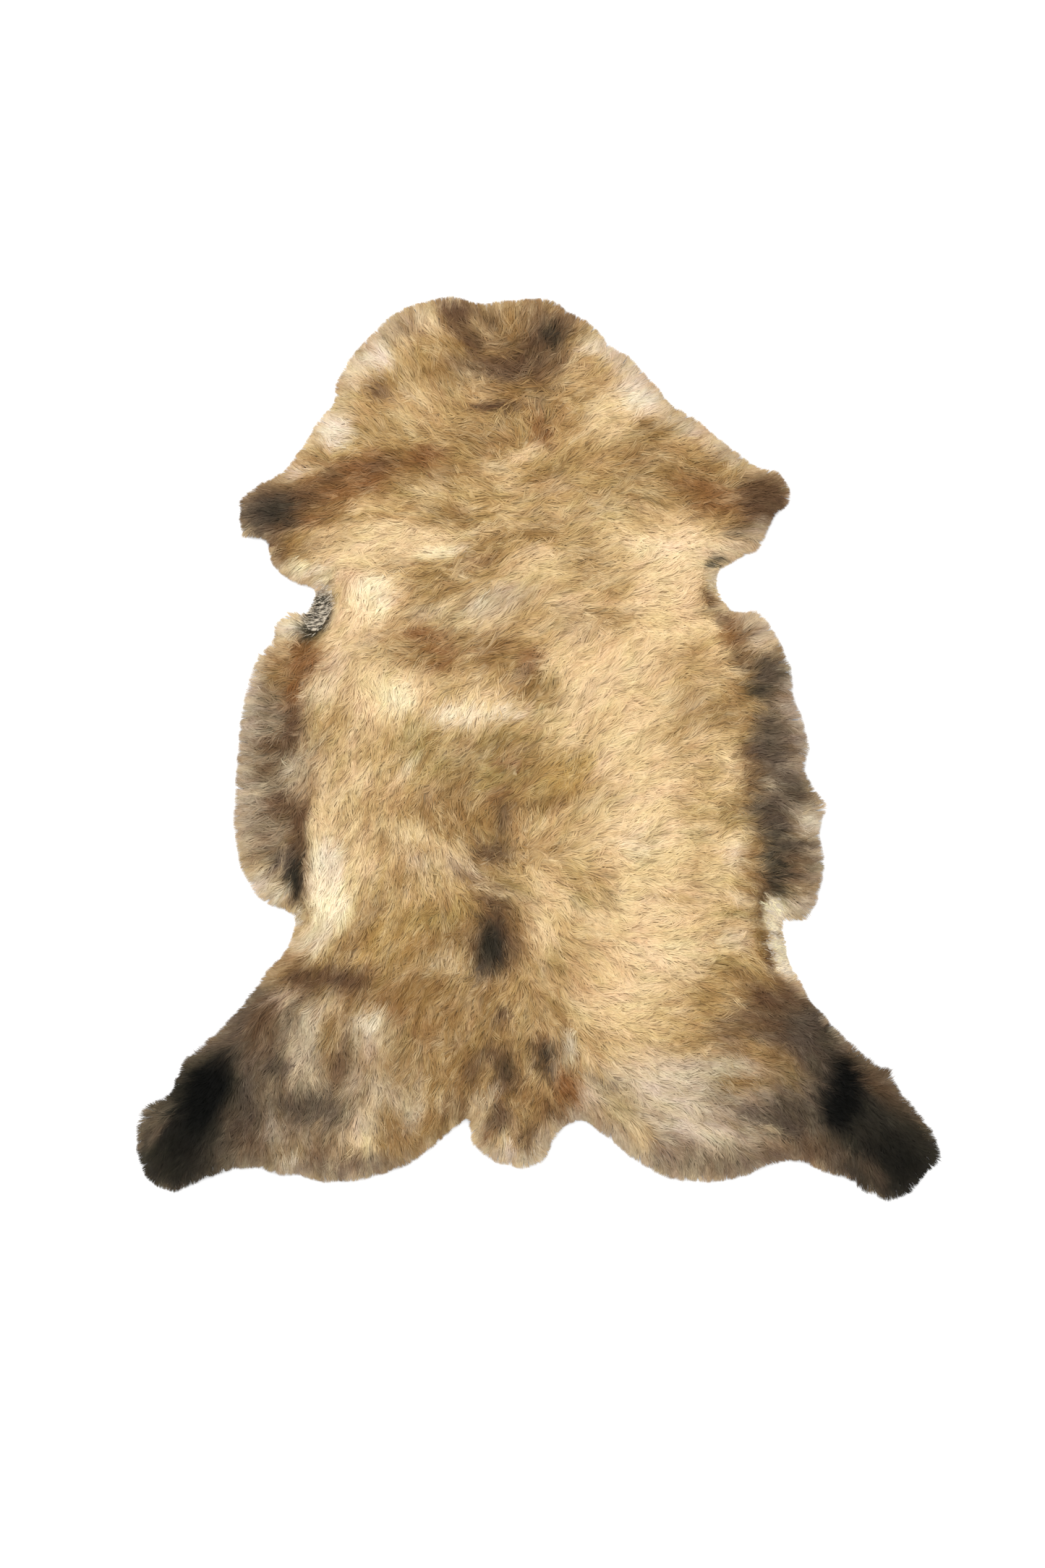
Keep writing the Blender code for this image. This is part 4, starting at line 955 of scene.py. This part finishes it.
def ribbons(name, points, colours, bare, material, seed):
    """One mesh of tapered strips, each with its own place in the unwrapped map."""
    random = np.random.default_rng(seed)
    count = len(points)
    tangent = np.gradient(points, axis=1)
    tangent /= np.linalg.norm(tangent, axis=2, keepdims=True) + TINY
    flat = np.stack([-tangent[:, :, 1], tangent[:, :, 0], np.zeros(tangent.shape[:2])], axis=2)
    flat /= np.linalg.norm(flat, axis=2, keepdims=True) + TINY
    over = np.cross(tangent, flat)
    roll = random.normal(0.0, LOCK_ROLL, count)[:, None, None]
    side = flat * np.cos(roll) + over * np.sin(roll)
    width = LOCK_WIDTH * random.uniform(*WIDTH_SPREAD, count) * (1.0 - BARE_THIN * bare)
    corners = np.zeros((count, RIBBON_POINTS, 3))
    for k in range(3):
        half = 0.5 * (width * WIDTHS[k])[:, None] * side[:, k]
        corners[:, 2 * k] = points[:, k] - half
        corners[:, 2 * k + 1] = points[:, k] + half
    corners[:, 6] = points[:, 3]
    corners[:, :, 2] = np.maximum(corners[:, :, 2], LOWEST)

    # Each lock's colour darkened towards its root: painted shade deep in the wool
    paint = linear(np.repeat(colours * PAINTED_ROOT_SHADE[:, None], 2, axis=1)[:, :RIBBON_POINTS])
    loops = np.arange(count)[:, None] * RIBBON_POINTS + RIBBON_CORNERS
    sizes = np.tile(RIBBON_FACES, count)
    cells = int(np.ceil(count ** 0.5))
    column, row = np.arange(count) % cells, np.arange(count) // cells
    place = np.stack([(column[:, None] + RIBBON_U) / cells, (row[:, None] + RIBBON_V) / cells], axis=2)

    mesh = bpy.data.meshes.new(name)
    mesh.vertices.add(count * RIBBON_POINTS)
    mesh.vertices.foreach_set("co", corners.ravel())
    mesh.loops.add(loops.size)
    mesh.loops.foreach_set("vertex_index", loops.ravel())
    mesh.polygons.add(len(sizes))
    mesh.polygons.foreach_set("loop_start", np.concatenate([[0], np.cumsum(sizes)[:-1]]))
    mesh.polygons.foreach_set("use_smooth", np.ones(len(sizes), dtype=bool))
    mesh.update(calc_edges=True)
    painted(mesh, paint.reshape(-1, 3))
    unwrapped = mesh.uv_layers.new(name="OFBake")
    unwrapped.data.foreach_set("uv", place[:, RIBBON_CORNERS].ravel())
    mesh.materials.append(material)
    mesh.validate()
    return placed(name, mesh)


def set_values(node, values):
    """Values on a node's own sockets."""
    for name, value in values.items():
        node.inputs[name].default_value = value


def new_material(name):
    """A material, its node tree, its shader and the piece's own coordinates."""
    material = bpy.data.materials.new(name)
    material.use_nodes = True
    tree = material.node_tree
    coordinates = tree.nodes.new("ShaderNodeTexCoord").outputs["Object"]
    return material, tree, tree.nodes["Principled BSDF"], coordinates


def noise(tree, coordinates, scale, detail):
    """A noise over the piece."""
    node = tree.nodes.new("ShaderNodeTexNoise")
    set_values(node, {"Scale": scale, "Detail": detail})
    tree.links.new(coordinates, node.inputs["Vector"])
    return node.outputs["Fac"]


def ranged(tree, value, low, high):
    """A noise spread over a range."""
    node = tree.nodes.new("ShaderNodeMapRange")
    set_values(node, {"From Min": 0.3, "From Max": 0.7, "To Min": low, "To Max": high})
    tree.links.new(value, node.inputs["Value"])
    return node.outputs["Result"]


def bumped(tree, height, shader, strength, distance):
    """A noise as bump on the shader."""
    bump = tree.nodes.new("ShaderNodeBump")
    set_values(bump, {"Strength": strength, "Distance": distance})
    tree.links.new(height, bump.inputs["Height"])
    tree.links.new(bump.outputs["Normal"], shader.inputs["Normal"])


def wool_material(name, shade, scale):
    """Wool: the painted tone, uneven along each fibre, with a soft sheen."""
    material, tree, shader, coordinates = new_material(name)
    paint = tree.nodes.new("ShaderNodeAttribute")
    paint.attribute_name = PAINT
    grain = noise(tree, coordinates, scale, 3.0)
    value = ranged(tree, grain, 0.94 * shade, 1.05 * shade)
    tint = tree.nodes.new("ShaderNodeVectorMath")
    tint.operation = "SCALE"
    tree.links.new(paint.outputs["Color"], tint.inputs[0])
    tree.links.new(value, tint.inputs["Scale"])
    tree.links.new(tint.outputs["Vector"], shader.inputs["Base Color"])
    tree.links.new(ranged(tree, grain, 0.55, 0.75), shader.inputs["Roughness"])
    bumped(tree, grain, shader, 0.12, 0.0006)
    set_values(shader, {"Specular IOR Level": 0.05, "Sheen Weight": 0.02, "Sheen Roughness": 0.45})
    return material


def hide_material():
    """Napped cream suede with faint pores."""
    material, tree, shader, coordinates = new_material("suede")
    cloud = noise(tree, coordinates, 14.0, 4.0)
    nap = noise(tree, coordinates, 900.0, 4.0)
    mix = tree.nodes.new("ShaderNodeMix")
    mix.data_type = "RGBA"
    set_values(mix, {"A": (0.50, 0.42, 0.31, 1.0), "B": (0.68, 0.60, 0.48, 1.0)})
    tree.links.new(cloud, mix.inputs["Factor"])
    tree.links.new(mix.outputs["Result"], shader.inputs["Base Color"])
    tree.links.new(ranged(tree, nap, 0.75, 0.95), shader.inputs["Roughness"])
    bumped(tree, nap, shader, 0.5, 0.0004)
    set_values(shader, {"Sheen Weight": 0.3})
    return material


def floor_material():
    """A plain pale studio floor."""
    material, tree, shader, coordinates = new_material("studio_floor")
    cloud = noise(tree, coordinates, 2.0, 2.0)
    tree.links.new(ranged(tree, cloud, 0.6, 0.62), shader.inputs["Roughness"])
    set_values(shader, {"Base Color": (0.93, 0.93, 0.93, 1.0), "Specular IOR Level": 0.1})
    return material


def area_light(name, place, size, power):
    """A square light that faces the rug's middle."""
    data = bpy.data.lights.new(name, "AREA")
    data.shape = "SQUARE"
    data.size = size
    data.energy = power
    light = placed(name, data)
    light.location = place
    light.rotation_euler = (Vector() - Vector(place)).to_track_quat("-Z", "Y").to_euler()


def studio():
    """Floor, lights and the camera that looks straight down."""
    corners = [(x * FLOOR_HALF, y * FLOOR_HALF, 0) for x, y in ((-1, -1), (1, -1), (1, 1), (-1, 1))]
    floor = mesh_object("floor", corners, [(0, 1, 2, 3)], floor_material(), smooth=False)
    world = bpy.data.worlds.new("studio")
    world.use_nodes = True
    background = world.node_tree.nodes["Background"]
    set_values(background, {"Color": (1.0, 1.0, 1.0, 1.0), "Strength": WORLD_STRENGTH})
    bpy.context.scene.world = world
    area_light("overhead", (0.0, 0.2, 3.6), 3.6, 105.0)
    area_light("key", (-1.5, 2.1, 2.4), 1.6, 42.0)
    bpy.context.scene.view_settings.view_transform = "Standard"
    bpy.context.scene.view_settings.look = "None"

    data = bpy.data.cameras.new("camera")
    data.lens = LENS
    data.sensor_width = SENSOR
    camera = placed("camera", data)
    distance = PHOTO_HEIGHT * PIXEL * LENS / SENSOR
    camera.location = (to_x(PHOTO_WIDTH / 2.0), to_y(PHOTO_HEIGHT / 2.0), WOOL_LEVEL + distance)
    bpy.context.scene.camera = camera


def main():
    """The studio, the hide, the matted wool and the locks, each on its body."""
    studio()
    surface = Surface(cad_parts["pelt"])
    line, inner = sheet_points(surface)
    plan = np.vstack([line, inner])
    faces = sheet_triangles(line, inner)
    count = len(plan)
    x, y = plan[:, 0], plan[:, 1]

    hide = closed_sheet("hide", plan, faces, len(line), np.zeros(count), np.full(count, HIDE_THICKNESS),
                        hide_material())
    tops = np.maximum(surface.height(x, y) - MAT_SINK, MAT_FLOOR)
    tops[:len(line)] = MAT_FLOOR
    colours = wool_colours(x, y, rim_of(x, y)[1], np.zeros((count, 2)))
    # The matted wool takes the wool's colours, darkened in its material by painted shade
    mat = closed_sheet("wool_base", plan, faces, len(line), np.full(count, 0.5 * MAT_FLOOR), tops,
                       wool_material("matted_wool", MAT_PAINTED_SHADE, MAT_GRAIN), linear(colours))

    points, colours, bare, grown_y = comb_locks(surface)
    order = np.argsort(-grown_y, kind="stable")
    wool = wool_material("wool", WOOL_SHADE, WOOL_GRAIN)
    locks = []
    for index, (name, chosen) in enumerate(zip(BANDS, np.array_split(order, len(BANDS)))):
        locks.append(ribbons(name, points[chosen], colours[chosen], bare[chosen], wool, BAND_SEED + index))

    for piece in (hide, mat, *locks):
        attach(piece, "root")
    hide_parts("pelt")


main()
